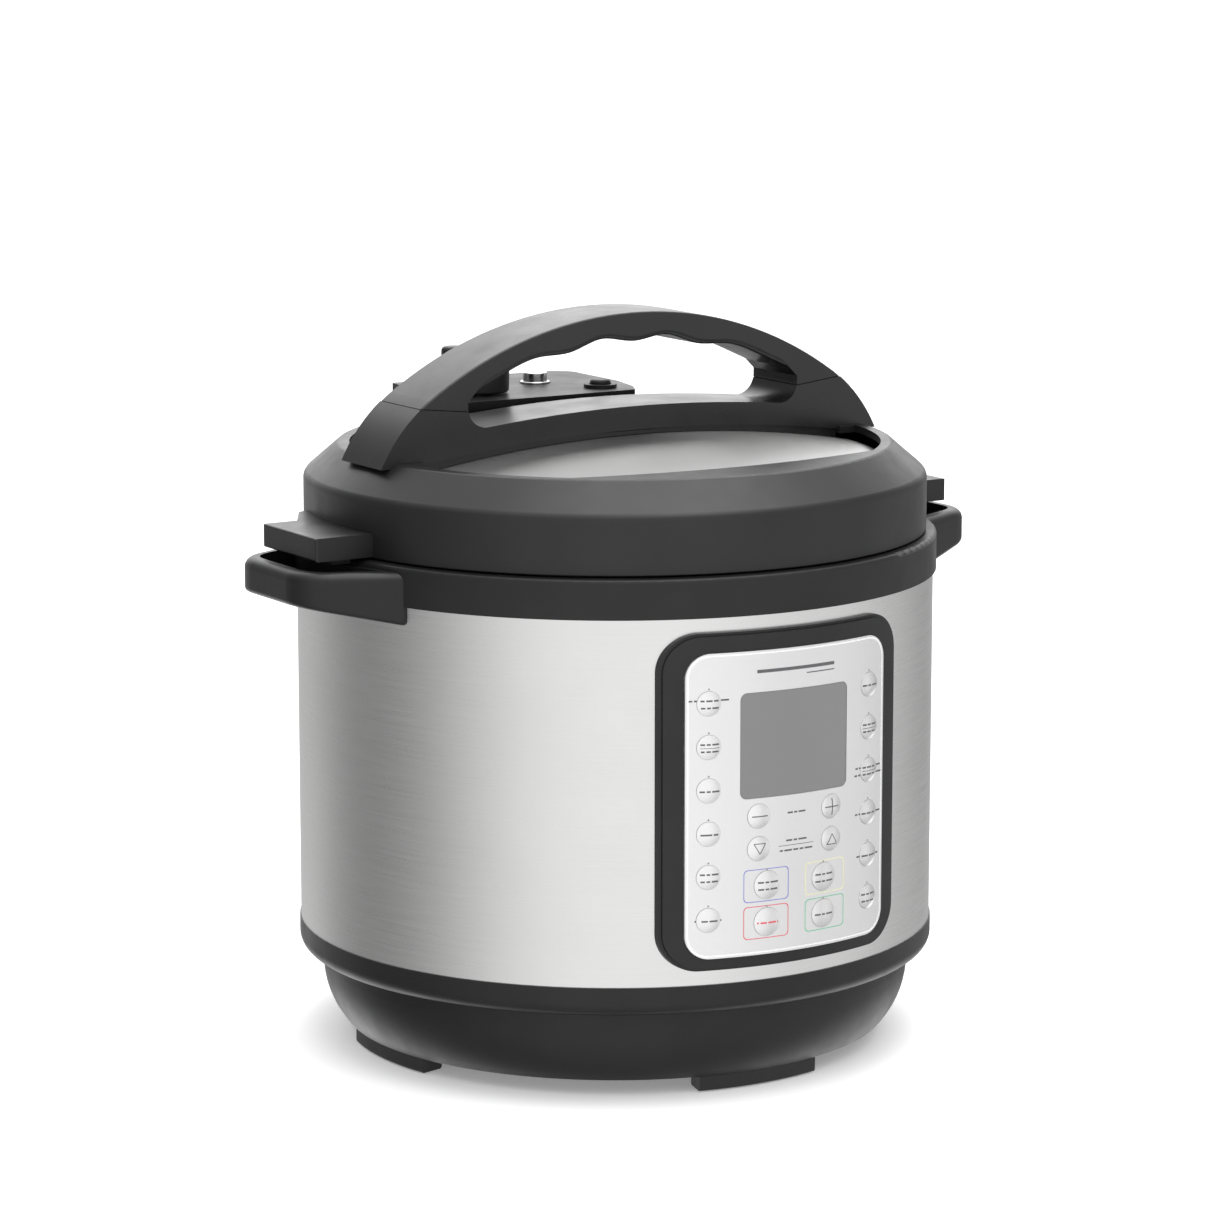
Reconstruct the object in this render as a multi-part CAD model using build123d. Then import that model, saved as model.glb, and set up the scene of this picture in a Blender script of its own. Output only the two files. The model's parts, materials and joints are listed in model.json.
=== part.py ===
"""Electric pressure cooker of about three litres, as separate pieces in one frame.

Millimetres, +Z up. The origin is on the standing plane, on the axis of the pot.
The control panel faces -Y, the two side handles and the arched lid handle lie along X,
and the power inlet and the drip cup are at the back, at +Y.
"""

import math
import os

from build123d import *

# ---------------------------------------------------------------- driving dimensions
SHELL_R = 119.5  # outer radius of the brushed steel wall
SHELL_T = 0.8
SHELL_Z0 = 44.6  # where the steel meets the moulded base
SHELL_Z1 = 179.0  # top edge, hidden in the collar

FOOT_H = 5.8
FOOT_R = 102.2
FOOT_HALF_ANGLE = 14.3
BASE_EDGE_R = 102.7
BOWL_R = 111.2
BOWL_ARC_Z = 28.0
LEDGE_Z = 33.6
BAND_R = 120.0
BASE_T = 2.5
POST_R = 60.0  # circle of the three screw posts
POST_ANGLES = (90, 210, 330)

COLLAR_R = 120.7
COLLAR_Z0 = 177.8
COLLAR_Z1 = 192.2
COLLAR_IN_R = 109.0
GUTTER_Z = 172.0

HOUSING_R = 92.5  # inner radius of the heater housing
HOUSING_T = 0.8
HOUSING_Z = 46.0
LOBE_R = 98.0
LOBE_Z = 180.0
LOBE_T = 2.5
TAB_COUNT = 8

POT_R = 88.2  # inner radius of the removable pot
POT_T = 0.8
POT_Z = 66.0
POT_RIM_Z = 182.8
POT_RIM_R = 96.0

PLATE_R = 76.0
PLATE_Z = 60.0
PLATE_T = 5.6
SENSOR_HOLE_R = 15.5

LID_R = 116.8
LID_Z0 = 192.7
LID_WALL_Z = 213.8
LID_TOP_R = 103.7
LID_TOP_Z = 225.1
LID_T = 2.8
LID_PLATE_T = 2.7
DOME_Z = 228.5  # crown of the steel lid
DOME_R = 530.0  # its spherical radius
PAN_T = 1.2
SKIRT_R = 105.5
SKIRT_Z = 176.0

HANDLE_D = 30.0  # depth of the lid handle, along Y
GRIP_TOP_Z = 274.3
GRIP_ARC_R = 156.0
GRIP_ARC_X = 88.0
SHOULDER_R = 60.0
FOOT_DROP = 1.6  # how far the handle reaches down over the edge of the lid
UNDER_Z = 265.5  # underside of the grip at the middle, between two finger waves
UNDER_R = 151.0
WAVE_PITCH = 27.5
WAVE_HANG = 2.2
GAP_X = 72.0  # half length of the finger opening
GAP_CORNER = 7.7
SPLIT_Z = 242.0
SPLIT_SLOPE = 0.11
SPLIT_GROOVE = 0.35
BAR_TOP_Z = 239.3
BAR_TOP_R = 600.0
BAR_BOTTOM_Z = 230.4
BAR_BOTTOM_R = 652.0
GRIP_SCREW_X = 80.0
COVER_SCREW_X = 98.5
GRIP_SCREW_Z = 237.2  # undersides of the screw heads
COVER_SCREW_Z = 220.9
HEAD_R = 3.7
HEAD_H = 1.4
SCREW_R = 1.8
SCREW_L = 10.8

FIN_X = 138.0
FIN_HALF = 20.5
FIN_Z0 = 193.3
FIN_Z1 = 201.8
FIN_STEP_Z = 190.9  # underside of the narrower step below each fin
WINDOW_R = 99.5  # the two steel windows of the cover: their outer corners
WINDOW_FRONT_Y = 84.0
WINDOW_FRONT_R = 250.0
PAD_X = 91.0  # where the cover closes again under the handle's feet

SIDE_TIP_X = 147.0
SIDE_ROOT = (114.0, 40.6)
SIDE_SLOPE = -0.487
SIDE_CORNER_R = 17.0
SIDE_WALL = 5.6
SIDE_TOP_Z = 190.2
SIDE_TIP_Z = 178.2
SIDE_ROOT_Z = 171.3

PANEL_R = 122.4
PANEL_Z0 = 50.3
PANEL_Z1 = 172.6
PANEL_HALF = 24.45
OVERLAY_R = 123.0
OVERLAY_T = 1.0
OVERLAY_Z0 = 54.8
OVERLAY_Z1 = 165.7
OVERLAY_HALF = 20.4
DISPLAY_HALF = 10.7
DISPLAY_Z0 = 112.3
DISPLAY_Z1 = 150.5
KEY_R = 4.45
COMMAND_R = 5.2
KEY_CLEAR = 0.08  # running fit round every key
KEY_DOME = 0.95
SIDE_KEY_ANGLE = 16.2
SIDE_KEY_Z = [147.7 - 15.7 * row for row in range(6)]
ADJUST_ANGLE = 7.25
COMMAND_ANGLE = 5.65

PLATFORM_Z = 239.5
KNOB_AT = (-33.0, 47.0)
FLOAT_AT = (1.5, 61.0)
BUTTON_AT = (16.0, 36.5)
PIPE_TOP_Z = 245.0

CUP_Y = (121.6, 134.8)
CUP_HALF = 27.5
CUP_Z0 = 128.0
CUP_Z1 = 163.0
INLET_Z = 66.0
INLET_SCREW_X = 20.5
INLET_SEAT_Y = 119.4  # flat seats of the screw heads in the curved flange


# ---------------------------------------------------------------- helpers
def turned(profile, rounds=None):
    """A solid of revolution about Z from (radius, z) points, with chosen corners rounded."""
    radii = [0.0] * len(profile)
    for index, radius in (rounds or {}).items():
        radii[index] = radius
    outline = FilletPolyline(*[(r, z) for r, z in profile], radius=radii, close=True)
    return revolve(Plane.XZ * make_face(outline), axis=Axis.Z)


def ring(r_out, r_in, z0, z1):
    """A plain ring between two radii and two heights."""
    return turned([(r_in, z0), (r_out, z0), (r_out, z1), (r_in, z1)])


def hoop(major, minor, z):
    """A round bar bent into a ring."""
    section = Plane.XZ * (Pos(major, z) * Circle(minor))
    return revolve(section, axis=Axis.Z)


def rod(r, z0, z1, at=(0.0, 0.0)):
    """An upright cylinder."""
    return Pos(at[0], at[1], (z0 + z1) / 2) * Cylinder(r, z1 - z0)


def block(x, y, z):
    """A box from three (low, high) pairs."""
    size = [b - a for a, b in (x, y, z)]
    centre = [(a + b) / 2 for a, b in (x, y, z)]
    return Pos(*centre) * Box(*size)


def upright(outline, y0, y1):
    """A closed outline drawn in X and Z, made solid from y0 to y1."""
    face = Plane.XZ * make_face(outline)
    return Pos(0, y1, 0) * extrude(face, y1 - y0)


def slab(outline, z0, z1):
    """A closed outline drawn in X and Y, made solid from z0 to z1."""
    return Pos(0, 0, z0) * extrude(make_face(outline), z1 - z0)


def window(half_width, z0, z1, corner, y0=-140.0, y1=-60.0):
    """A rounded rectangle seen from the front, made solid through the front wall."""
    outline = RectangleRounded(2 * half_width, z1 - z0, corner)
    face = Plane.XZ * (Pos(0, (z0 + z1) / 2) * outline)
    return Pos(0, y1, 0) * extrude(face, y1 - y0)


def sector(half_angle, centre_angle, r, z0, z1):
    """A pie slice about Z, used to cut rings into arcs."""
    a0 = math.radians(centre_angle - half_angle)
    a1 = math.radians(centre_angle + half_angle)
    p0 = (r * math.cos(a0), r * math.sin(a0))
    p1 = (r * math.cos(a1), r * math.sin(a1))
    outline = Line((0, 0), p0) + RadiusArc(p0, p1, r) + Line(p1, (0, 0))
    return slab(outline, z0, z1)


def radial(angle, r, z):
    """A place on the front of the body, facing outwards, angle degrees from -Y towards +X."""
    a = math.radians(angle)
    out = (math.sin(a), -math.cos(a), 0)
    return Plane(origin=(r * out[0], r * out[1], z), x_dir=(0, 0, 1), z_dir=out).location


def coil(r, wire, pitch, height):
    """A compression spring standing on the origin."""
    path = Helix(pitch=pitch, height=height, radius=r)
    return sweep(Plane(path @ 0, z_dir=path % 0) * Circle(wire), path=path)


def mirrored(part):
    """The part and its mirror image across the plane x = 0."""
    return part + mirror(part, about=Plane.YZ)


def around(part, angles):
    """Copies of a part turned about Z, kept as separate solids."""
    return Compound(children=[Rot(0, 0, a) * part for a in angles])


# ---------------------------------------------------------------- base
def base_housing():
    """Moulded bowl with floor, vent slots, screw posts and the band under the steel."""
    bowl_arc = (BOWL_R - BASE_EDGE_R) / 2 + (BOWL_ARC_Z - FOOT_H) ** 2 / (2 * (BOWL_R - BASE_EDGE_R))
    inner = bowl_arc - BASE_T
    centre_r = BOWL_R - bowl_arc
    floor_z = FOOT_H + BASE_T
    inner_r = centre_r + math.sqrt(inner**2 - (BOWL_ARC_Z - floor_z) ** 2)
    with BuildPart() as bowl:
        with BuildSketch(Plane.XZ):
            with BuildLine():
                Polyline((0, FOOT_H), (BASE_EDGE_R, FOOT_H))
                RadiusArc((BASE_EDGE_R, FOOT_H), (BOWL_R, BOWL_ARC_Z), -bowl_arc)
                Polyline((BOWL_R, BOWL_ARC_Z), (BOWL_R, LEDGE_Z - 1), (BOWL_R - 1, LEDGE_Z))
                Polyline((BOWL_R - 1, LEDGE_Z), (BAND_R - 5, LEDGE_Z))
                RadiusArc((BAND_R - 5, LEDGE_Z), (BAND_R, LEDGE_Z + 5), -5)
                Polyline(
                    (BAND_R, LEDGE_Z + 5),
                    (BAND_R, SHELL_Z0),
                    (SHELL_R - SHELL_T - 0.3, SHELL_Z0),
                    (SHELL_R - SHELL_T - 0.3, SHELL_Z0 + 5),
                    (SHELL_R - SHELL_T - 2.1, SHELL_Z0 + 5),
                    (SHELL_R - SHELL_T - 2.1, LEDGE_Z + BASE_T + 1),
                    (BOWL_R - BASE_T, LEDGE_Z + BASE_T),
                    (BOWL_R - BASE_T, BOWL_ARC_Z),
                )
                RadiusArc((BOWL_R - BASE_T, BOWL_ARC_Z), (inner_r, floor_z), inner)
                Polyline((inner_r, floor_z), (0, floor_z), (0, FOOT_H))
            make_face()
        revolve(axis=Axis.Z)
    body = bowl.part
    post_outer = 5.5
    post_hole = 2.2
    for angle in POST_ANGLES:
        at = (POST_R * math.cos(math.radians(angle)), POST_R * math.sin(math.radians(angle)))
        body += rod(post_outer, floor_z - 0.5, HOUSING_Z, at)
        body -= rod(post_hole, FOOT_H - 1, HOUSING_Z + 1, at)
        body -= rod(4.4, FOOT_H - 1, FOOT_H + 1.2, at)
    for x in (-36.0, 36.0):
        for y in (-10.0, 40.0):
            body += rod(3.0, floor_z - 0.5, 18.0, (x, y))
    slot = SlotOverall(34, 4)
    for row in range(5):
        for side in (-1, 1):
            at = Pos(side * 24.0, -46.0 + 9.0 * row - 22.0, 0)
            body -= slab(at * slot, FOOT_H - 1, floor_z + 1)
    return body


def feet():
    """Four curved pads under the edge of the base, front, back, left and right."""
    pad = turned([(FOOT_R - 10, 0), (FOOT_R, 0), (FOOT_R, FOOT_H), (FOOT_R - 10, FOOT_H)], {0: 1, 1: 1})
    pad = pad & sector(FOOT_HALF_ANGLE, -90, 130, -1, FOOT_H + 1)
    return around(pad, (0, 90, 180, 270))


def base_screws():
    """Three pan-head screws, from under the base into the floor of the heater housing."""
    screws = []
    for angle in POST_ANGLES:
        at = (POST_R * math.cos(math.radians(angle)), POST_R * math.sin(math.radians(angle)))
        head = rod(4.0, FOOT_H - 0.8, FOOT_H + 1.2, at) - block(
            (at[0] - 2.6, at[0] + 2.6), (at[1] - 0.5, at[1] + 0.5), (FOOT_H - 1, FOOT_H)
        )
        screws.append(head + rod(1.95, FOOT_H + 1, HOUSING_Z + 4, at))
    return Compound(children=screws)


def steel_shell():
    """Rolled sheet with windows for the panel at the front and the inlet at the back."""
    shell = ring(SHELL_R, SHELL_R - SHELL_T, SHELL_Z0, SHELL_Z1)
    shell -= window(45.5, PANEL_Z0 + 3.5, PANEL_Z1 - 3.5, 9)
    shell -= block((-16, 16), (100, 140), (INLET_Z - 11, INLET_Z + 11))
    for x in (-INLET_SCREW_X, INLET_SCREW_X):
        shell -= Pos(x, 120, INLET_Z) * Rot(90, 0, 0) * Cylinder(1.7, 20)
    return shell


def side_outline(inset):
    """Plan of one side handle at +X: straight flanks, rounded corners, flat tip."""
    root_x, root_y = SIDE_ROOT
    tip = SIDE_TIP_X - inset
    shift = inset * math.hypot(1, SIDE_SLOPE)
    tip_y = root_y + SIDE_SLOPE * (tip - root_x) - shift
    start_x = 90.0
    start_y = root_y - shift
    points = [(start_x, -start_y), (root_x, -start_y), (tip, -tip_y), (tip, tip_y), (root_x, start_y)]
    points.append((start_x, start_y))
    corner = SIDE_CORNER_R - inset
    return FilletPolyline(*points, radius=[0, 2, corner, corner, 2, 0], close=True)


def rim_edges(body, z):
    """The outer edges of a side handle that lie at height z."""
    level = body.edges().filter_by(lambda edge: abs((edge @ 0.5).Z - z) < 0.01)
    return level.filter_by(lambda edge: (edge @ 0.5).X > SIDE_ROOT[0] - 20)


def under_edges(body):
    """The outer edges along the sloping underside of a side handle."""
    low = body.edges().filter_by(lambda edge: (edge @ 0.5).Z < SIDE_TIP_Z + 1)
    return low.filter_by(lambda edge: (edge @ 0.5).X > SIDE_ROOT[0] + 3)


def collar():
    """Top ring with gutter, outer lip over the steel, and a hollow handle on each side."""
    lip_r = SHELL_R + 0.15
    body = turned(
        [
            (HOUSING_R + HOUSING_T + 0.3, GUTTER_Z - 2),
            (COLLAR_IN_R + 2, GUTTER_Z - 2),
            (COLLAR_IN_R + 2, COLLAR_Z1 - 3),
            (SHELL_R - 3, COLLAR_Z1 - 3),
            (lip_r, COLLAR_Z1 - 6),
            (lip_r, COLLAR_Z0),
            (COLLAR_R, COLLAR_Z0),
            (COLLAR_R, COLLAR_Z1),
            (COLLAR_IN_R, COLLAR_Z1),
            (COLLAR_IN_R, GUTTER_Z),
            (HOUSING_R + HOUSING_T + 0.3, GUTTER_Z),
        ],
        {7: 1.6, 8: 1.0},
    )
    drop = SIDE_TIP_Z - SIDE_ROOT_Z
    run = SIDE_TIP_X - SIDE_ROOT[0]
    reach = 12.0
    under = Polyline(
        (SIDE_ROOT[0] - 30, SIDE_ROOT_Z - drop * 30 / run),
        (SIDE_TIP_X + 1, SIDE_TIP_Z),
        (SIDE_TIP_X + 1, SIDE_TOP_Z),
        (SIDE_ROOT[0] - 30, SIDE_TOP_Z),
        close=True,
    )
    handle = slab(side_outline(0), SIDE_ROOT_Z - 8, SIDE_TOP_Z + 1) & upright(under, -60, 60)
    handle = fillet(rim_edges(handle, SIDE_TOP_Z), 3.8)
    handle = fillet(under_edges(handle), 2.0)
    handle -= rod(lip_r, SIDE_ROOT_Z - reach, SIDE_TOP_Z + reach)
    pocket = slab(side_outline(SIDE_WALL), SIDE_TIP_Z + 1.6, SIDE_TOP_Z + 2)
    pocket = fillet(pocket.edges().group_by(Axis.Z)[0], 2.0)
    pocket -= rod(COLLAR_R + 2.6, SIDE_ROOT_Z, SIDE_TOP_Z + reach)
    body += mirrored(handle - pocket)
    body -= block((-4, 4), (114, 130), (COLLAR_Z1 - 2.2, COLLAR_Z1 + 1))
    return body


def heater_housing():
    """Deep steel can that holds the pot, with the lobed flange that the lid locks under."""
    outer = HOUSING_R + HOUSING_T
    body = turned(
        [
            (28, HOUSING_Z),
            (outer, HOUSING_Z),
            (outer, LOBE_Z),
            (LOBE_R, LOBE_Z),
            (LOBE_R, LOBE_Z + LOBE_T),
            (HOUSING_R, LOBE_Z + LOBE_T),
            (HOUSING_R, HOUSING_Z + HOUSING_T),
            (28, HOUSING_Z + HOUSING_T),
        ],
        {1: 6, 6: 5.2, 5: 1.5},
    )
    notch = ring(LOBE_R + 1, outer + 1.2, LOBE_Z - 1, LOBE_Z + LOBE_T + 1)
    for index in range(TAB_COUNT):
        body -= notch & sector(12.5, 22.5 + index * 360 / TAB_COUNT, 130, LOBE_Z - 2, LOBE_Z + 6)
    for angle in POST_ANGLES:
        at = (POST_R * math.cos(math.radians(angle)), POST_R * math.sin(math.radians(angle)))
        body -= rod(2.05, HOUSING_Z - 1, HOUSING_Z + 2, at)
    return body


def heating_plate():
    """Cast aluminium disc under the pot, open in the middle for the sensor."""
    return turned(
        [
            (SENSOR_HOLE_R, PLATE_Z),
            (PLATE_R, PLATE_Z),
            (PLATE_R, PLATE_Z + PLATE_T),
            (SENSOR_HOLE_R, PLATE_Z + PLATE_T),
        ],
        {1: 1.5, 2: 1.5, 3: 1.0},
    )


def heating_element():
    """Sheathed ring under the plate, bent down into two terminals."""
    major = 52.0
    minor = 3.6
    centre_z = PLATE_Z - minor - 0.2
    loop = hoop(major, minor, centre_z)
    loop -= block((-8, 8), (-70, 0), (centre_z - 5, centre_z + 5))
    for x in (-10.0, 10.0):
        loop += rod(2.6, HOUSING_Z + 2.2, centre_z, (x, -math.sqrt(major**2 - x**2)))
    return loop


def temperature_sensor():
    """Sprung cap in the middle of the plate, with its stem."""
    cap_r = 12.5
    top = PLATE_Z + PLATE_T
    cap = turned([(0, top - 5), (4, top - 5), (4, top - 1.5), (cap_r - 1, top - 1.5), (cap_r - 1, top - 6),
                  (cap_r, top - 6), (cap_r, top), (0, top)], {6: 1.0})
    return cap + rod(3.0, HOUSING_Z + 1.5, top - 4)


def sensor_spring():
    """Compression spring round the sensor's stem."""
    return Pos(0, 0, HOUSING_Z + 5.5) * coil(7.0, 0.6, 2.6, 7.8)


def plate_bracket():
    """Sprung steel spider on the floor of the housing, with three posts under the plate."""
    z0 = HOUSING_Z + HOUSING_T
    body = ring(26, 4.2, z0, z0 + 1.2)
    for angle in (30, 150, 270):
        arm = block((20, 68), (-5, 5), (z0, z0 + 1.2))
        arm += rod(3.0, z0 + 1, PLATE_Z, (64.5, 0))
        body += Rot(0, 0, angle) * arm
    body += ring(9.5, 4.2, z0 + 1, z0 + 4)
    return body


def pressure_switch():
    """Snap switch beside the middle of the bracket, with its plunger and terminals."""
    z0 = HOUSING_Z + HOUSING_T + 0.1
    body = block((28, 44), (-6, 6), (z0, z0 + 8))
    body += rod(1.6, z0 + 7, z0 + 10, (32, 0))
    for x in (34.0, 38.0, 42.0):
        body += block((x - 0.4, x + 0.4), (5, 9), (z0 + 2, z0 + 5))
    return body


def thermal_fuse():
    """Small fuse can held against the plate, with its leads."""
    z = PLATE_Z - 2.8
    fuse = Pos(-38, 0, z) * Rot(90, 0, 0) * Cylinder(2.4, 14)
    fuse += Pos(-38, 0, z) * Rot(90, 0, 0) * Cylinder(0.6, 26)
    return fuse


def power_board():
    """Power supply board on four posts, with transformer, relay, capacitors and terminals."""
    z0 = 18.0
    board = block((-42, 42), (-16, 46), (z0, z0 + 1.6))
    top = z0 + 1.5
    board += block((-34, -12), (4, 26), (top, top + 19))
    board += block((-4, 15), (24, 40), (top, top + 16))
    board += rod(6.5, top, top + 18, (28, 2))
    board += rod(5.0, top, top + 14, (28, 32))
    board += block((-6, 14), (-12, -4), (top, top + 9))
    for x in (-30.0, -22.0, -14.0):
        board += block((x - 3, x + 3), (34, 42), (top, top + 8))
    return board


def control_board():
    """Board behind the panel, with a switch behind each column of keys and a connector."""
    y0 = -106.0
    board = block((-39, 39), (y0, y0 + 1.6), (57, 164))
    for x in (-30.0, 30.0):
        board += block((x - 3, x + 3), (y0 - 3, y0 + 0.5), (62, 154))
    board += block((-12, 12), (y0 + 1, y0 + 8), (62, 70))
    board += block((-8, 8), (y0 + 1, y0 + 3), (90, 106))
    return board


# ---------------------------------------------------------------- control panel
def panel_shape(half_angle, z0, z1, corner, r_in, r_out):
    """A rounded rectangle on the curved front, between two radii."""
    half = PANEL_R * math.sin(math.radians(half_angle))
    return window(half, z0, z1, corner) & ring(r_out, r_in, z0 - 5, z1 + 5)


def panel_bezel():
    """Black frame with a stepped edge, and the carrier behind the front sheet."""
    step = 1.1
    half = PANEL_R * math.sin(math.radians(PANEL_HALF))
    lower = window(half, PANEL_Z0, PANEL_Z1, 14) & ring(PANEL_R - 1.0, SHELL_R, 40, 180)
    upper = window(half - step, PANEL_Z0 + step, PANEL_Z1 - step, 13) & ring(PANEL_R, SHELL_R + 1, 40, 180)
    carrier = window(45.2, PANEL_Z0 + 3.8, PANEL_Z1 - 3.8, 8.7) & ring(SHELL_R + 0.5, 117.4, 40, 180)
    body = lower + upper + carrier
    recess = panel_shape(OVERLAY_HALF, OVERLAY_Z0, OVERLAY_Z1, 9, OVERLAY_R - OVERLAY_T, 130)
    body -= recess
    body -= panel_shape(OVERLAY_HALF - 0.9, OVERLAY_Z0 + 2, OVERLAY_Z1 - 2, 7.5, 119.9, 130)
    body -= window(20.5, DISPLAY_Z0 + 2, DISPLAY_Z1 - 2, 2)
    return body


def key_places():
    """Every key as name, angle from the middle, height and radius."""
    places = []
    for row, z in enumerate(SIDE_KEY_Z):
        places.append((f"key_left_{row + 1}", -SIDE_KEY_ANGLE, z, KEY_R))
        places.append((f"key_right_{row + 1}", SIDE_KEY_ANGLE, z, KEY_R))
    places.append(("key_minus", -ADJUST_ANGLE, 105.7, KEY_R))
    places.append(("key_plus", ADJUST_ANGLE, 105.7, KEY_R))
    places.append(("key_down", -ADJUST_ANGLE, 93.8, KEY_R))
    places.append(("key_up", ADJUST_ANGLE, 93.8, KEY_R))
    places.append(("key_delay", -COMMAND_ANGLE, 80.3, COMMAND_R))
    places.append(("key_warm", COMMAND_ANGLE, 80.3, COMMAND_R))
    places.append(("key_cancel", -COMMAND_ANGLE, 66.8, COMMAND_R))
    places.append(("key_start", COMMAND_ANGLE, 66.8, COMMAND_R))
    return places


def panel_overlay():
    """Silver front sheet with a window for the display and a hole for every key."""
    body = panel_shape(OVERLAY_HALF - 0.08, OVERLAY_Z0 + 0.15, OVERLAY_Z1 - 0.15, 8.9,
                       OVERLAY_R - OVERLAY_T, OVERLAY_R)
    body -= panel_shape(DISPLAY_HALF + 0.05, DISPLAY_Z0 - 0.1, DISPLAY_Z1 + 0.1, 2.6, 110, 130)
    for _, angle, z, radius in key_places():
        body -= radial(angle, OVERLAY_R, z) * Cylinder(radius + KEY_CLEAR, 8)
    return body


def display_lens():
    """Grey window of the display, set just below the front sheet."""
    return panel_shape(DISPLAY_HALF - 0.02, DISPLAY_Z0, DISPLAY_Z1, 2.5, OVERLAY_R - 0.9, OVERLAY_R - 0.1)


def lcd_module():
    """Display glass in its frame, with the light guide behind it."""
    glass = block((-22.5, 22.5), (-113.6, -110.5), (DISPLAY_Z0 - 1, DISPLAY_Z1 + 1))
    return glass + block((-20, 20), (-111, -106.2), (DISPLAY_Z0 + 2, DISPLAY_Z1 - 2))


def key(radius):
    """Domed key, standing on its own axis with the sheet's outer face at height 0."""
    flange_r = radius + 0.9
    edge = 0.15
    sag = KEY_DOME - edge
    dome_r = (radius**2 + sag**2) / (2 * sag)
    stem = rod(radius, -1.8, KEY_DOME + 1)
    stem = stem & Pos(0, 0, KEY_DOME - dome_r) * Sphere(dome_r)
    return stem + rod(flange_r, -2.1, -1.5)


# ---------------------------------------------------------------- back of the base
def power_inlet():
    """Mains socket: curved flange, deep housing with a chamfered cavity, three blades."""
    z0 = INLET_Z - 14
    z1 = INLET_Z + 14
    flange = window(26, z0, z1, 4, 100, 140) & ring(SHELL_R + 2.4, SHELL_R, z0 - 1, z1 + 1)
    body = flange + block((-15.5, 15.5), (98, SHELL_R + 1), (INLET_Z - 10.5, INLET_Z + 10.5))
    cavity = Polyline((-12, -8), (12, -8), (12, 3), (7, 8), (-7, 8), (-12, 3), close=True)
    body -= Pos(0, 0, INLET_Z) * upright(cavity, 101, 140)
    for x, z in ((-7.0, -2.0), (7.0, -2.0), (0.0, 2.5)):
        body += block((x - 1.0, x + 1.0), (100, 114), (INLET_Z + z - 2, INLET_Z + z + 2))
    for x in (-INLET_SCREW_X, INLET_SCREW_X):
        body -= Pos(x, 120, INLET_Z) * Rot(90, 0, 0) * Cylinder(1.7, 20)
        body -= Pos(x, INLET_SEAT_Y + 5, INLET_Z) * Rot(90, 0, 0) * Cylinder(3.3, 10)
    return body


def inlet_screws():
    """Two pan-head screws in the inlet's flange."""
    screws = []
    y = INLET_SEAT_Y
    for x in (-INLET_SCREW_X, INLET_SCREW_X):
        head = Pos(x, y + 0.9, INLET_Z) * Rot(90, 0, 0) * Cylinder(3.0, 1.8)
        head -= block((x - 2, x + 2), (y + 1.0, y + 3), (INLET_Z - 0.4, INLET_Z + 0.4))
        shank = Pos(x, y - 4, INLET_Z) * Rot(90, 0, 0) * Cylinder(1.5, 9)
        screws.append(head + shank)
    return Compound(children=screws)


def collector_rail():
    """Bracket on the back of the shell, with two arms that carry the cup by its rim."""
    face_y = CUP_Y[0] - 0.4
    plate = block((-33, 33), (105, face_y), (138, 172)) - rod(SHELL_R, 130, 180)
    arm = block((30.2, 33), (face_y - 4, CUP_Y[1] - 3), (CUP_Z1 - 8, CUP_Z1 + 3))
    arm += block((28.0, 31), (face_y - 4, CUP_Y[1] - 3), (CUP_Z1 - 6.2, CUP_Z1 - 4.6))
    arm -= rod(SHELL_R, 130, 180)
    return plate + mirrored(arm)


def condensation_collector():
    """Clear drip cup, open at the top, with a rim on each side that rides on the rail."""
    y0, y1 = CUP_Y
    wall = 1.5
    outline = Pos(0, (y0 + y1) / 2) * RectangleRounded(2 * CUP_HALF, y1 - y0, 4)
    cup = slab(outline, CUP_Z0, CUP_Z1)
    inner = Pos(0, (y0 + y1) / 2) * RectangleRounded(2 * (CUP_HALF - wall), y1 - y0 - 2 * wall, 2.5)
    cup -= slab(inner, CUP_Z0 + wall, CUP_Z1 + 1)
    rim = block((CUP_HALF - 0.6, 29.8), (y0 + 1, y1 - 4), (CUP_Z1 - 4.2, CUP_Z1 - 2.6))
    return cup + mirrored(rim)


# ---------------------------------------------------------------- pot
def inner_pot():
    """Deep drawn pot with a thick base, rounded corner and flat rim."""
    outer = POT_R + POT_T
    return turned(
        [
            (0, POT_Z),
            (outer, POT_Z),
            (outer, POT_RIM_Z),
            (POT_RIM_R, POT_RIM_Z),
            (POT_RIM_R, POT_RIM_Z + 1.2),
            (POT_R, POT_RIM_Z + 1.2),
            (POT_R, POT_Z + 3),
            (0, POT_Z + 3),
        ],
        {1: 9, 6: 8, 5: 1.4, 4: 0.5, 3: 0.5},
    )


# ---------------------------------------------------------------- lid
def dome_height(r, crown=DOME_Z, radius=DOME_R):
    """Height of the steel dome at a distance r from the axis."""
    return crown - radius + math.sqrt(radius**2 - r**2)


def pan_solid(inset, bottom):
    """The dome and skirt as a filled plug, drawn in by inset from the outer surface."""
    knuckle = 96.0
    skirt = SKIRT_R - inset
    top = dome_height(knuckle) - inset
    with BuildPart() as plug:
        with BuildSketch(Plane.XZ):
            with BuildLine():
                RadiusArc((0, DOME_Z - inset), (knuckle, top), DOME_R)
                knee = Bezier((knuckle, top), (knuckle + 6, top - 1.2), (skirt, top - 3.2), (skirt, top - 10))
                Polyline(knee @ 1, (skirt, bottom), (0, bottom), (0, DOME_Z - inset))
            make_face()
        revolve(axis=Axis.Z)
    return plug.part


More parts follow.
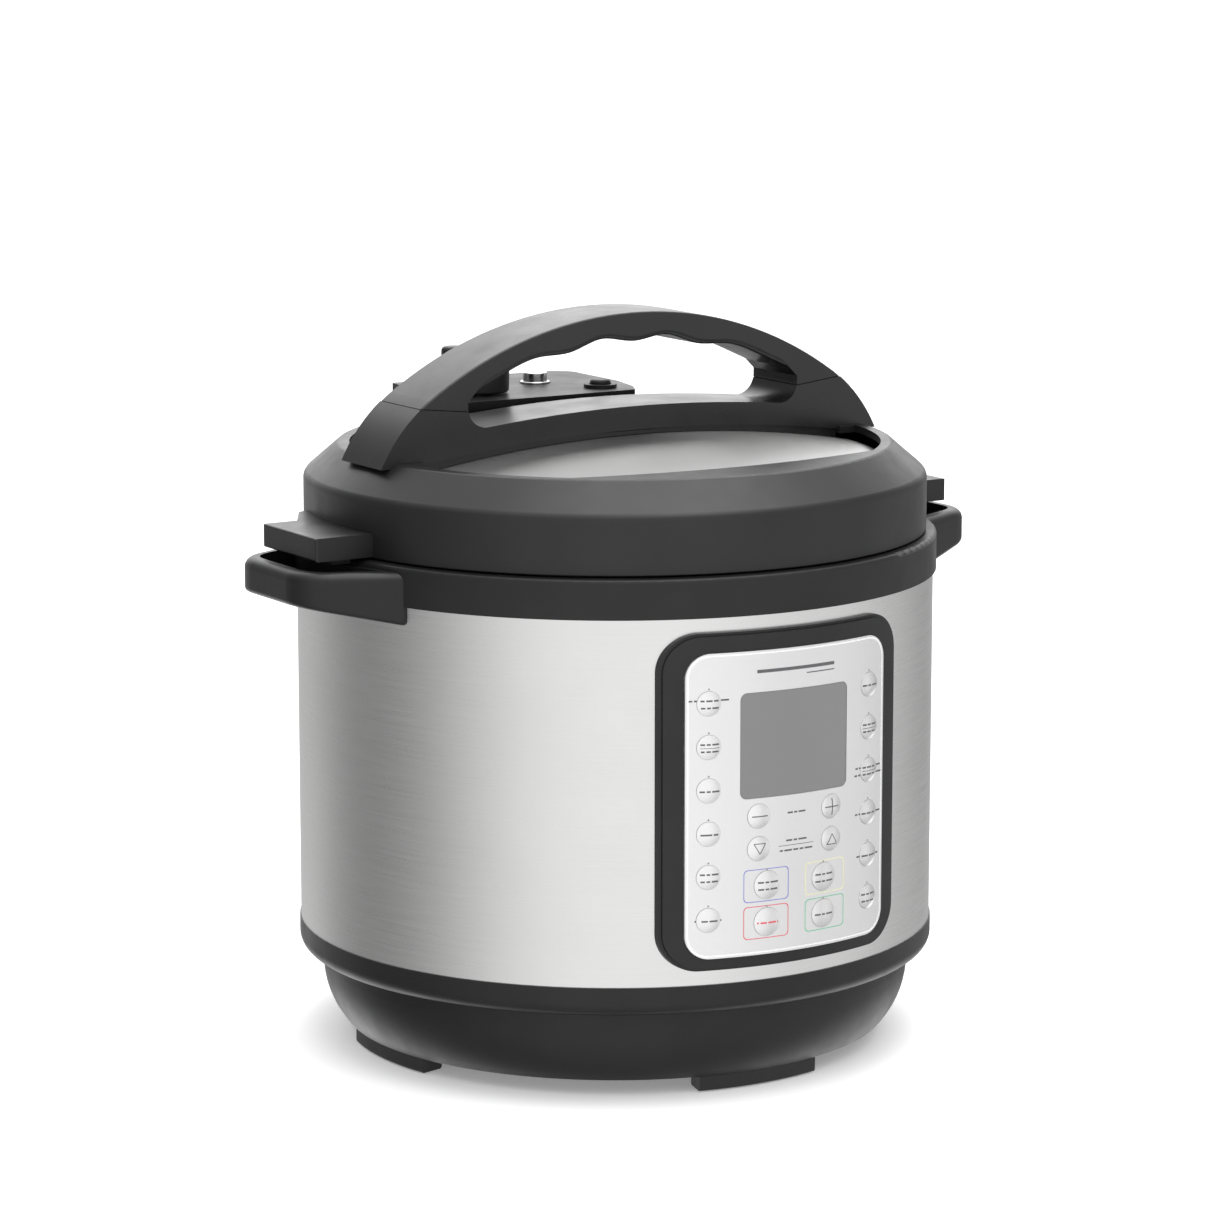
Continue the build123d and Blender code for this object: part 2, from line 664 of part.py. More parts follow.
def lid_pan():
    """Steel pressure lid: shallow dome, deep skirt, and inward tabs at its foot."""
    pan = pan_solid(0, SKIRT_Z) - pan_solid(PAN_T, SKIRT_Z - 1)
    tabs = ring(SKIRT_R - 0.5, LOBE_R + 0.4, SKIRT_Z, SKIRT_Z + 1.4)
    for index in range(TAB_COUNT):
        pan += tabs & sector(9.5, index * 360 / TAB_COUNT, 130, SKIRT_Z - 2, SKIRT_Z + 6)
    pan -= rod(5.2, 200, 240, KNOB_AT)
    pan -= rod(2.6, 200, 240, FLOAT_AT)
    return pan


def lid_opening(z0, z1):
    """Both steel windows of the cover, in front of the handle and behind it."""
    away = WINDOW_FRONT_R - WINDOW_FRONT_Y
    shape = slab(Circle(WINDOW_R), z0, z1)
    shape = shape & slab(Pos(0, away) * Circle(WINDOW_FRONT_R), z0, z1)
    shape = shape & slab(Pos(0, -away) * Circle(WINDOW_FRONT_R), z0, z1)
    pad_y = HANDLE_D / 2 + 1.5
    pad = block((PAD_X, WINDOW_R + 5), (-pad_y, pad_y), (z0 - 1, z1 + 1))
    return shape - mirrored(pad)


def lid_cover():
    """Black cover round the steel lid, with a fin on each side to hold it by."""
    cover = turned(
        [
            (LID_R - LID_T, LID_Z0),
            (LID_R, LID_Z0),
            (LID_R, LID_WALL_Z),
            (LID_TOP_R, LID_TOP_Z),
            (60, LID_TOP_Z),
            (60, LID_TOP_Z - LID_PLATE_T),
            (LID_TOP_R - 1.4, LID_TOP_Z - LID_PLATE_T),
            (LID_R - LID_T, LID_WALL_Z - 1.2),
        ],
        {1: 0.6, 2: 4.0, 3: 2.0},
    )
    cover -= lid_opening(LID_TOP_Z - 10, LID_TOP_Z + 10)
    for x in (-COVER_SCREW_X, COVER_SCREW_X):
        cover -= rod(SCREW_R + 0.15, LID_TOP_Z - 10, LID_TOP_Z + 5, (x, 0))
    root_x = 105.0
    fin = block((root_x, FIN_X), (-FIN_HALF, FIN_HALF), (FIN_Z0, FIN_Z1))
    web_x = FIN_X - 14
    web = Polyline((root_x, 10), (web_x, 10), (web_x, FIN_HALF), (114, 38), (root_x, 42), close=True)
    fin += slab(web, FIN_Z0 + 1.5, FIN_Z1)
    fin = fillet(fin.edges().filter_by(GeomType.LINE).group_by(Axis.X)[-1], 0.8)
    fin += block((COLLAR_R + 0.8, FIN_X - 9), (-FIN_HALF + 5, FIN_HALF - 5), (FIN_STEP_Z, FIN_Z0 + 1))
    fin -= rod(LID_R - 1.4, FIN_Z0 - 5, FIN_Z1 + 5)
    return cover + mirrored(fin)


def arc_z(x, crown, radius):
    """Height at x of an arc with its crown at x = 0."""
    return crown - radius + math.sqrt(radius**2 - x**2)


def grip_envelope():
    """The whole side view of the handle, filled, down to below the lid's rim."""
    shoulder_z = arc_z(GRIP_ARC_X, GRIP_TOP_Z, GRIP_ARC_R)
    lean = math.asin(GRIP_ARC_X / GRIP_ARC_R)
    cx = GRIP_ARC_X - SHOULDER_R * math.sin(lean)
    cz = shoulder_z - SHOULDER_R * math.cos(lean)
    foot_z = LID_TOP_Z - FOOT_DROP
    foot_x = cx + math.sqrt(SHOULDER_R**2 - (foot_z - cz) ** 2)
    outline = RadiusArc((-GRIP_ARC_X, shoulder_z), (GRIP_ARC_X, shoulder_z), GRIP_ARC_R)
    outline += RadiusArc((GRIP_ARC_X, shoulder_z), (foot_x, foot_z), SHOULDER_R)
    outline += Line((foot_x, foot_z), (-foot_x, foot_z))
    outline += RadiusArc((-foot_x, foot_z), (-GRIP_ARC_X, shoulder_z), SHOULDER_R)
    return upright(outline, -HANDLE_D / 2, HANDLE_D / 2)


def finger_gap(y0, y1):
    """The opening under the grip: finger waves above, the bar's arched top below."""
    half = WAVE_PITCH / 2
    ridge = []
    for step in range(-5, 6):
        hang = WAVE_HANG if step in (-2, 0, 2) else 0.0
        ridge.append((step * half, arc_z(step * half, UNDER_Z, UNDER_R) - hang))
    end_x, end_z = ridge[-1]
    bar_x = GAP_X - GAP_CORNER
    bar_z = arc_z(bar_x, BAR_TOP_Z, BAR_TOP_R)
    diagonal = GAP_CORNER * math.sqrt(0.5)
    bend = (bar_x + diagonal, bar_z + GAP_CORNER - diagonal)
    shoulder_z = end_z - (GAP_X - end_x)
    wall_z = bar_z + GAP_CORNER
    outline = Spline(*ridge)
    outline += Polyline((end_x, end_z), (GAP_X, shoulder_z), (GAP_X, wall_z))
    outline += ThreePointArc((GAP_X, wall_z), bend, (bar_x, bar_z))
    outline += RadiusArc((bar_x, bar_z), (-bar_x, bar_z), -BAR_TOP_R)
    outline += ThreePointArc((-bar_x, bar_z), (-bend[0], bend[1]), (-GAP_X, wall_z))
    outline += Polyline((-GAP_X, wall_z), (-GAP_X, shoulder_z), (-end_x, end_z))
    return upright(outline, y0, y1)


def split_z(x):
    """Height of the line where the grip meets its base."""
    return SPLIT_Z + SPLIT_SLOPE * (abs(x) - GAP_X)


def split_block(above):
    """Everything above or below the line where the grip meets its base."""
    inner = (GAP_X - 10, split_z(GAP_X - 10))
    outer = (GAP_X + 60, split_z(GAP_X + 60))
    far_z = 330.0 if above else 150.0
    outline = Polyline(
        (-outer[0], outer[1]),
        (-inner[0], inner[1]),
        inner,
        outer,
        (outer[0], far_z),
        (-outer[0], far_z),
        close=True,
    )
    return upright(outline, -40, 40)


def handle_base():
    """Lower part of the handle: end blocks on the rim and the bar across the lid."""
    body = grip_envelope() & split_block(False)
    body -= finger_gap(-30, 30)
    end_z = arc_z(118, BAR_BOTTOM_Z, BAR_BOTTOM_R)
    under = RadiusArc((-118, end_z), (118, end_z), BAR_BOTTOM_R)
    under += Polyline((118, end_z), (118, 200), (-118, 200), (-118, end_z))
    body -= upright(under, -40, 40) & block((-97, 97), (-40, 40), (200, 240))
    step = block((-96, 96), (-HANDLE_D / 2 + 1.6, HANDLE_D / 2 - 1.6), (216, BAR_BOTTOM_Z - 0.5))
    step = step & upright(under, -40, 40)
    body += step
    body -= cover_plug(0.0)
    body -= pan_solid(-0.15, 180)
    for x in (-GRIP_SCREW_X, GRIP_SCREW_X):
        body -= rod(HEAD_R + 0.4, 200, GRIP_SCREW_Z + HEAD_H + 0.1, (x, 0))
        body -= rod(SCREW_R + 0.1, 230, 260, (x, 0))
    for x in (-COVER_SCREW_X, COVER_SCREW_X):
        body -= rod(SCREW_R + 0.1, 200, COVER_SCREW_Z + SCREW_L + 0.5, (x, 0))
    return body


def cover_plug(grow):
    """The outside of the black cover as a filled shape without its steel windows."""
    plug = turned(
        [
            (0, LID_Z0),
            (LID_R + grow, LID_Z0),
            (LID_R + grow, LID_WALL_Z),
            (LID_TOP_R + grow, LID_TOP_Z + grow),
            (0, LID_TOP_Z + grow),
        ],
        {2: 4.0, 3: 2.0},
    )
    return plug - lid_opening(LID_Z0 - 5, LID_TOP_Z + 5)


def crown_edges(body):
    """The long arcs along both upper sides of the handle."""
    flat = body.edges().filter_by(lambda edge: abs(abs((edge @ 0.5).Y) - HANDLE_D / 2) < 0.05)
    return flat.filter_by(lambda edge: edge.geom_type == GeomType.CIRCLE and edge.length > 10)


def handle_grip():
    """Arched grip with finger waves on its underside, resting on the base's end blocks."""
    body = grip_envelope() & split_block(True)
    body -= finger_gap(-30, 30)
    body -= block((-130, 130), (-40, 40), (150, SPLIT_Z - 1))
    sides = body.edges().filter_by(lambda edge: abs(abs((edge @ 0.5).Y) - HANDLE_D / 2) < 0.05)
    body = fillet(sides.filter_by(GeomType.BSPLINE), 2.0)
    body = fillet(crown_edges(body), 0.8)
    seam = body.edges().filter_by(lambda edge: abs((edge @ 0.5).Z - split_z((edge @ 0.5).X)) < 0.01)
    body = chamfer(seam, SPLIT_GROOVE)
    for x in (-GRIP_SCREW_X, GRIP_SCREW_X):
        body -= rod(SCREW_R + 0.1, 236, GRIP_SCREW_Z + SCREW_L + 0.2, (x, 0))
    return body


def handle_screws():
    """Four equal screws: two hold the grip to its base, two hold the base to the cover."""
    screws = []
    for x, z in ((GRIP_SCREW_X, GRIP_SCREW_Z), (COVER_SCREW_X, COVER_SCREW_Z)):
        for side in (-1, 1):
            head = rod(HEAD_R, z, z + HEAD_H, (side * x, 0))
            screws.append(head + rod(SCREW_R, z + 1, z + SCREW_L, (side * x, 0)))
    return Compound(children=screws)


def valve_platform():
    """Flat-topped housing behind the handle, hollow below, with wells for its valves."""
    outer = FilletPolyline(
        (-52, 24), (24, 24), (28.5, 33), (32, 50), (32, 84), (24, 90), (-45.5, 90),
        radius=[1, 1.5, 6, 10, 6, 6, 1], close=True,
    )
    inner = offset(make_face(outer), -2.5, kind=Kind.INTERSECTION).face().outer_wire()
    body = slab(outer, LID_TOP_Z - 8, PLATFORM_Z)
    body -= slab(inner, LID_TOP_Z - 9, PLATFORM_Z - 2.6)
    body += rod(9.0, 219, PLATFORM_Z - 1, KNOB_AT)
    body += rod(8.2, 219, PLATFORM_Z - 1, FLOAT_AT)
    body += rod(7.6, 222, PLATFORM_Z - 1, BUTTON_AT)
    body += rod(6.35, PLATFORM_Z - 0.5, PLATFORM_Z + 1.4, BUTTON_AT)
    body -= pan_solid(-0.15, 180)
    body -= cover_plug(0.1)
    body -= rod(6.1, 200, 260, KNOB_AT)
    body -= rod(6.05, 229, 260, FLOAT_AT)
    body -= rod(2.6, 200, 260, FLOAT_AT)
    body -= rod(4.35, PLATFORM_Z - 4, 260, BUTTON_AT)
    body -= rod(5.4, 230.5, PLATFORM_Z - 2.4, BUTTON_AT)
    return body


def steam_pipe():
    """Steel pipe through the lid, threaded into it below and seated for the weight above."""
    nut_r = 8.0
    under = dome_height(math.hypot(*KNOB_AT) + nut_r) - PAN_T - 0.1
    pipe = rod(5.0, under - 6, PIPE_TOP_Z, KNOB_AT) + rod(nut_r, under - 2.8, under, KNOB_AT)
    return pipe - rod(1.6, under - 7, PIPE_TOP_Z + 1, KNOB_AT)


def steam_release_knob():
    """Round cap with a pointer bar across it, hollow over the pipe and the weight."""
    z0 = PLATFORM_Z + 0.6
    cap = turned([(0, z0), (12.6, z0), (13, z0 + 13), (0, z0 + 13)], {1: 1.0, 2: 2.2})
    cap = Pos(*KNOB_AT, 0) * cap
    bar = slab(SlotOverall(26, 9), z0 + 11, z0 + 17.2)
    bar = fillet(bar.edges().group_by(Axis.Z)[-1], 1.6)
    cap += Pos(*KNOB_AT, 0) * Rot(0, 0, 148) * bar
    cap -= rod(8.5, z0 - 1, z0 + 11.9, KNOB_AT)
    for angle in range(0, 360, 45):
        a = math.radians(angle)
        at = (KNOB_AT[0] + 10.7 * math.cos(a), KNOB_AT[1] + 10.7 * math.sin(a))
        cap -= rod(1.1, z0 - 1, z0 + 3.2, at)
    return cap


def valve_weight():
    """Weight that closes the pipe, lifted by the knob's cam when it is turned."""
    seat = PIPE_TOP_Z + 0.3
    weight = turned([(0, seat), (6.5, seat), (7, seat + 3.7), (0, seat + 3.7)], {2: 0.8})
    weight += rod(1.2, seat - 4, seat + 0.5)
    return Pos(*KNOB_AT, 0) * weight


def float_valve():
    """Silver pressure pin: domed head, flange at its foot, thin stem through the lid."""
    head_z = PLATFORM_Z + 0.2
    top = head_z + 4.1
    head = turned([(0, head_z - 0.4), (5.7, head_z - 0.4), (5.7, head_z + 0.6), (4.7, head_z + 0.6),
                   (4.7, top), (0, top)], {1: 0.3, 2: 0.3, 4: 0.4})
    head += rod(2.0, 211, head_z)
    return Pos(*FLOAT_AT, 0) * head


def float_seal():
    """Silicone cap on the pin's lower end, just under the steel lid."""
    top = dome_height(math.hypot(*FLOAT_AT) + 6.4) - PAN_T - 0.4
    seal = turned([(2.0, top - 9), (5, top - 9), (6.4, top - 3), (6.4, top), (2.0, top)], {1: 1.5, 2: 1.0})
    return Pos(*FLOAT_AT, 0) * seal


def release_button():
    """Small round button in a raised ring of the platform."""
    top = PLATFORM_Z + 3.2
    cap = turned([(0, 234.6), (4.9, 234.6), (4.9, 235.6), (4.0, 235.6), (4.0, top), (0, top)], {4: 1.2})
    return Pos(*BUTTON_AT, 0) * cap


def release_spring():
    """Spring under the button."""
    return Pos(*BUTTON_AT, 231.0) * coil(3.4, 0.35, 1.3, 3.2)


def anti_block_shield():
    """Perforated cap pushed on to the pipe's nut, inside the lid."""
    top = dome_height(math.hypot(*KNOB_AT)) - PAN_T - 1.0
    cap = turned([(0, top - 14), (12, top - 14), (12, top - 2), (0, top - 2)], {1: 2.5})
    cap -= turned([(0, top - 12.4), (10.4, top - 12.4), (10.4, top), (0, top)], {1: 1.2})
    for angle in range(0, 360, 45):
        hole = Pos(11, 0, top - 7) * Rot(0, 90, 0) * Cylinder(1.6, 6)
        cap -= Rot(0, 0, angle) * hole
    for radius, count in ((4.0, 6), (8.0, 8)):
        for index in range(count):
            a = 2 * math.pi * index / count
            cap -= rod(1.0, top - 16, top - 10, (radius * math.cos(a), radius * math.sin(a)))
    return Pos(*KNOB_AT, 0) * cap


def ring_rack():
    """Wire ring that carries the sealing ring, on six stays under the dome."""
    major = 98.5
    wire = 1.3
    stay_r = 93.5
    z = 190.8
    low = z - wire
    high = z + wire
    rack = turned([(major - wire, low), (major + wire, low), (major + wire, high), (major - wire, high)],
                  {0: 1.1, 1: 1.1, 2: 1.1, 3: 1.1})
    for index in range(6):
        stay = rod(1.1, z - 1.1, dome_height(stay_r + 1) - PAN_T, (stay_r, 0))
        stay += Pos((major + stay_r) / 2, 0, z) * Rot(0, 90, 0) * Cylinder(0.9, major - stay_r)
        rack += Rot(0, 0, 30 + 60 * index) * stay
    return rack


def sealing_ring():
    """Silicone ring with a groove for its wire rack and a lip on the pot's rim."""
    z0 = POT_RIM_Z + 1.2 + 0.4
    outer = SKIRT_R - PAN_T - 0.45
    return turned(
        [
            (90, z0),
            (outer, z0),
            (outer, z0 + 11.4),
            (96.5, z0 + 11.4),
            (96.5, z0 + 8.6),
            (101.3, z0 + 8.6),
            (101.3, z0 + 3.6),
            (90, z0 + 2.8),
        ],
        {0: 0.8, 1: 1.5, 2: 1.5, 5: 1.5, 6: 1.5, 7: 0.8},
    )


# ---------------------------------------------------------------- write every node
def nodes():
    """Every node by name."""
    made = {
        "base_housing": base_housing(),
        "feet": feet(),
        "base_screws": base_screws(),
        "steel_shell": steel_shell(),
        "collar": collar(),
        "heater_housing": heater_housing(),
        "heating_plate": heating_plate(),
        "heating_element": heating_element(),
        "temperature_sensor": temperature_sensor(),
        "sensor_spring": sensor_spring(),
        "plate_bracket": plate_bracket(),
        "pressure_switch": pressure_switch(),
        "thermal_fuse": thermal_fuse(),
        "power_board": power_board(),
        "control_board": control_board(),
        "panel_bezel": panel_bezel(),
        "panel_overlay": panel_overlay(),
        "display_lens": display_lens(),
        "lcd_module": lcd_module(),
        "power_inlet": power_inlet(),
        "inlet_screws": inlet_screws(),
        "collector_rail": collector_rail(),
        "condensation_collector": condensation_collector(),
        "inner_pot": inner_pot(),
        "lid_cover": lid_cover(),
        "lid_pan": lid_pan(),
        "handle_base": handle_base(),
        "handle_grip": handle_grip(),
        "handle_screws": handle_screws(),
        "valve_platform": valve_platform(),
        "steam_pipe": steam_pipe(),
        "steam_release_knob": steam_release_knob(),
        "valve_weight": valve_weight(),
        "float_valve": float_valve(),
        "float_seal": float_seal(),
        "release_button": release_button(),
        "release_spring": release_spring(),
        "anti_block_shield": anti_block_shield(),
        "ring_rack": ring_rack(),
        "sealing_ring": sealing_ring(),
    }
    for name, angle, z, radius in key_places():
        made[name] = radial(angle, OVERLAY_R, z) * key(radius)
    return made


os.makedirs("parts", exist_ok=True)
for node_name, node_part in nodes().items():
    export_step(node_part, f"parts/{node_name}.step")
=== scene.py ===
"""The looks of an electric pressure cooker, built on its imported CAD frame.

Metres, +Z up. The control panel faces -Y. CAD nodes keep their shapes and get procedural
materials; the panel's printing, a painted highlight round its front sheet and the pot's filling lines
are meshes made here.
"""

import json
import math

import bmesh
import bpy
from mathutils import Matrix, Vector

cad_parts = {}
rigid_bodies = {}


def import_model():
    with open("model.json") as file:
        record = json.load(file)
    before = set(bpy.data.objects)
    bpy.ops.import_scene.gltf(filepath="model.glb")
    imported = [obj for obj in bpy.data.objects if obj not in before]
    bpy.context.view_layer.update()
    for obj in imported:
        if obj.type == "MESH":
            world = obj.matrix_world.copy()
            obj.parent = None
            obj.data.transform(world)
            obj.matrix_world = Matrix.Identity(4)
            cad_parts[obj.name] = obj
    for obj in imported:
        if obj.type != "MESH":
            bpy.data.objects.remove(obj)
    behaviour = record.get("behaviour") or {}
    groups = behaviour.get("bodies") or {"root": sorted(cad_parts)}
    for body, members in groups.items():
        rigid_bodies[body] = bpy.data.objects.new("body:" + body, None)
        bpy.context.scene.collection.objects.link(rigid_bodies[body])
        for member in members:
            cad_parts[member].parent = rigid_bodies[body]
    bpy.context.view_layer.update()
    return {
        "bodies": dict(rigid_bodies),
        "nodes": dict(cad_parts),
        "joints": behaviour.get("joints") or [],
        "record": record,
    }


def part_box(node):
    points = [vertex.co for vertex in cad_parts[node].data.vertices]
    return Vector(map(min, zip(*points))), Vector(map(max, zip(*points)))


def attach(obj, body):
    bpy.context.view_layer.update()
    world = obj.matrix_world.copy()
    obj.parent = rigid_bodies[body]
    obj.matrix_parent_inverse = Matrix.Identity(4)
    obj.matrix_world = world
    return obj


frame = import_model()
nodes = frame["nodes"]
joints = {joint["child"]: joint for joint in frame["joints"]}
collection = bpy.context.scene.collection
UP = Vector((0.0, 0.0, 1.0))


# ---------------------------------------------------------------- node helpers
NOISE_SPAN = (0.3, 0.7)  # where most of a noise's values lie


class Graph:
    """A material's node tree with short calls for the nodes used here."""

    def __init__(self, name):
        self.material = bpy.data.materials.new(name)
        self.material.use_nodes = True
        self.tree = self.material.node_tree
        self.shader = self.tree.nodes["Principled BSDF"]

    def node(self, kind, **settings):
        made = self.tree.nodes.new(kind)
        for key, value in settings.items():
            setattr(made, key, value)
        return made

    def link(self, source, target):
        self.tree.links.new(source, target)

    def position(self, scale=(1.0, 1.0, 1.0)):
        """The place on the object in metres, stretched by scale."""
        coordinates = self.node("ShaderNodeTexCoord")
        mapping = self.node("ShaderNodeMapping")
        mapping.inputs["Scale"].default_value = scale
        self.link(coordinates.outputs["Object"], mapping.inputs["Vector"])
        return mapping.outputs["Vector"]

    def around(self, turn_scale, height_scale, radius_scale=0.0):
        """Place as (angle about Z, height, radius), each with its own scale."""
        split = self.node("ShaderNodeSeparateXYZ")
        self.link(self.position(), split.inputs[0])
        angle = self.math("ARCTAN2", split.outputs["Y"], split.outputs["X"])
        flat = self.node("ShaderNodeVectorMath", operation="LENGTH")
        level = self.node("ShaderNodeCombineXYZ")
        self.link(split.outputs["X"], level.inputs["X"])
        self.link(split.outputs["Y"], level.inputs["Y"])
        self.link(level.outputs[0], flat.inputs[0])
        place = self.node("ShaderNodeCombineXYZ")
        self.link(self.math("MULTIPLY", angle, turn_scale), place.inputs["X"])
        self.link(self.math("MULTIPLY", split.outputs["Z"], height_scale), place.inputs["Y"])
        self.link(self.math("MULTIPLY", flat.outputs["Value"], radius_scale), place.inputs["Z"])
        return place.outputs[0]

    def math(self, operation, first, second=0.0):
        """One step of arithmetic on sockets or numbers."""
        made = self.node("ShaderNodeMath", operation=operation)
        for socket, value in zip(made.inputs, (first, second)):
            if isinstance(value, (int, float)):
                socket.default_value = value
            else:
                self.link(value, socket)
        return made.outputs[0]

    def mixed(self, first, second, share):
        """Two values mixed, share of the first and the rest of the second."""
        return self.math(
            "ADD", self.math("MULTIPLY", first, share), self.math("MULTIPLY", second, 1 - share)
        )

    def noise(self, vector, scale, detail=2.0, rough=0.5):
        """Noise with scale in waves per metre."""
        made = self.node("ShaderNodeTexNoise")
        made.inputs["Scale"].default_value = scale
        made.inputs["Detail"].default_value = detail
        made.inputs["Roughness"].default_value = rough
        self.link(vector, made.inputs["Vector"])
        return made.outputs["Fac"]

    def spread(self, value, low, high, source=NOISE_SPAN):
        """Value remapped from the source's span to low..high."""
        made = self.node("ShaderNodeMapRange")
        made.inputs["From Min"].default_value = source[0]
        made.inputs["From Max"].default_value = source[1]
        made.inputs["To Min"].default_value = low
        made.inputs["To Max"].default_value = high
        self.link(value, made.inputs["Value"])
        return made.outputs["Result"]

    def tint(self, value, dark, light, source=NOISE_SPAN):
        """A colour between two colours, chosen by value."""
        made = self.node("ShaderNodeMix", data_type="RGBA")
        made.inputs["A"].default_value = (*dark, 1.0)
        made.inputs["B"].default_value = (*light, 1.0)
        self.link(self.spread(value, 0.0, 1.0, source), made.inputs["Factor"])
        return made.outputs["Result"]

    def relief(self, height, depth):
        """A bump from a pattern, depth in metres."""
        made = self.node("ShaderNodeBump")
        made.inputs["Distance"].default_value = depth
        made.inputs["Strength"].default_value = 1.0
        self.link(height, made.inputs["Height"])
        return made.outputs["Normal"]

    def finish(self, colour, roughness, normal=None, **constants):
        """Links what varies over the surface and sets what is the same all over it."""
        for name, source in (("Base Color", colour), ("Roughness", roughness), ("Normal", normal)):
            if source is not None:
                self.link(source, self.shader.inputs[name])
        for name, value in constants.items():
            self.shader.inputs[name.replace("_", " ")].default_value = value
        return self.material


def shaded(shade, factor):
    """A colour made darker or lighter, and held within white."""
    return tuple(min(1.0, value * factor) for value in shade)


def moulded(name, shade, rough, grain_size=0.0007, grain_depth=0.00001, level=0.35):
    """Moulded plastic or rubber: a fine grain, slow unevenness in tone and gloss."""
    graph = Graph(name)
    place = graph.position()
    grain = graph.noise(place, scale=1.0 / grain_size, rough=0.55)
    flow = graph.noise(place, scale=22.0, detail=3.0, rough=0.6)
    gloss = graph.noise(place, scale=60.0, detail=4.0, rough=0.6)
    return graph.finish(
        colour=graph.tint(flow, shaded(shade, 0.86), shaded(shade, 1.22)),
        roughness=graph.spread(gloss, rough - 0.05, rough + 0.06),
        normal=graph.relief(grain, grain_depth),
        Specular_IOR_Level=level,
    )


def brushed(name, shade, rough, depth, anisotropic=0.6, turned=False):
    """Steel brushed round the Z axis: long fine lines, faint clouds, stretched highlights.

    The lines run over the height of a wall, or over the radius of a turned face.
    """
    graph = Graph(name)
    lengthwise, across, inward = 3.0, 5200.0, 300.0
    if turned:
        lines = graph.around(lengthwise, height_scale=0.0, radius_scale=across)
    else:
        lines = graph.around(lengthwise, height_scale=across, radius_scale=inward)
    fine = graph.noise(lines, scale=1.0, detail=3.0, rough=0.7)
    cloud = graph.noise(graph.position(), scale=30.0, detail=3.0, rough=0.6)
    tangent = graph.node("ShaderNodeTangent", direction_type="RADIAL", axis="Z")
    graph.link(tangent.outputs["Tangent"], graph.shader.inputs["Tangent"])
    return graph.finish(
        colour=graph.tint(graph.mixed(fine, cloud, 0.75), shaded(shade, 0.93), shaded(shade, 1.05)),
        roughness=graph.spread(fine, rough - 0.05, rough + 0.07),
        normal=graph.relief(fine, depth),
        Metallic=1.0,
        Anisotropic=anisotropic,
    )


def metal(name, shade, rough, pit_size=0.0006, pit_depth=0.00001):
    """Plain metal without a brushing direction."""
    graph = Graph(name)
    place = graph.position()
    pits = graph.noise(place, scale=1.0 / pit_size, detail=3.0, rough=0.6)
    cloud = graph.noise(place, scale=90.0, detail=3.0, rough=0.6)
    return graph.finish(
        colour=graph.tint(cloud, shaded(shade, 0.9), shaded(shade, 1.08)),
        roughness=graph.spread(cloud, rough - 0.04, rough + 0.06),
        normal=graph.relief(pits, pit_depth),
        Metallic=1.0,
    )


def film(name, shade, rough, coat, metallic=0.0, flake=0.03):
    """Printed or pearl film: a tiny flake in the tone and a clear coat."""
    graph = Graph(name)
    place = graph.position()
    flakes = graph.noise(place, scale=4200.0, rough=0.6)
    cloud = graph.noise(place, scale=35.0)
    speckle = graph.mixed(flakes, cloud, 0.6)
    return graph.finish(
        colour=graph.tint(speckle, shaded(shade, 1 - flake), shaded(shade, 1 + flake)),
        roughness=graph.spread(cloud, rough - 0.03, rough + 0.04),
        normal=graph.relief(flakes, depth=0.000004),
        Metallic=metallic,
        Coat_Weight=coat,
        Coat_Roughness=0.18,
    )


def silicone(name, shade):
    """Translucent silicone with a soft bloom."""
    graph = Graph(name)
    place = graph.position()
    cloud = graph.noise(place, scale=45.0, detail=3.0, rough=0.6)
    bloom = graph.noise(place, scale=900.0)
    return graph.finish(
        colour=graph.tint(cloud, shaded(shade, 0.93), shade),
        roughness=graph.spread(cloud, 0.38, 0.5),
        normal=graph.relief(bloom, depth=0.00001),
        Subsurface_Weight=0.35,
        Subsurface_Scale=0.004,
        Sheen_Weight=0.15,
    )


def clear(name, shade):
    """Clear moulded plastic with faint flow lines."""
    graph = Graph(name)
    stretched_up = (1.0, 1.0, 0.4)
    flow = graph.noise(graph.position(stretched_up), scale=70.0, detail=3.0, rough=0.6)
    return graph.finish(
        colour=graph.tint(flow, shaded(shade, 0.95), shade),
        roughness=graph.spread(flow, 0.06, 0.14),
        normal=graph.relief(flow, depth=0.00004),
        Transmission_Weight=0.85,
        IOR=1.49,
        Alpha=0.55,
    )


def board(name):
    """Circuit board: a green mask in small square cells, darker and glossier in their middles."""
    graph = Graph(name)
    cells = graph.node("ShaderNodeTexVoronoi", feature="F1", distance="CHEBYCHEV")
    cells.inputs["Scale"].default_value = 260.0
    graph.link(graph.position(), cells.inputs["Vector"])
    far = cells.outputs["Distance"]
    span = (0.1, 0.6)
    return graph.finish(
        colour=graph.tint(far, (0.012, 0.10, 0.035), (0.03, 0.2, 0.07), span),
        roughness=graph.spread(far, 0.3, 0.5, span),
        normal=graph.relief(far, depth=0.0001),
    )


BLACK = (0.0095, 0.0095, 0.01)
SOFT_BLACK = (0.012, 0.012, 0.0125)
STEEL = (0.80, 0.80, 0.795)
LID_STEEL = (0.47, 0.47, 0.467)
HOUSING_STEEL = (0.62, 0.62, 0.61)
POT_STEEL = (0.8, 0.8, 0.79)

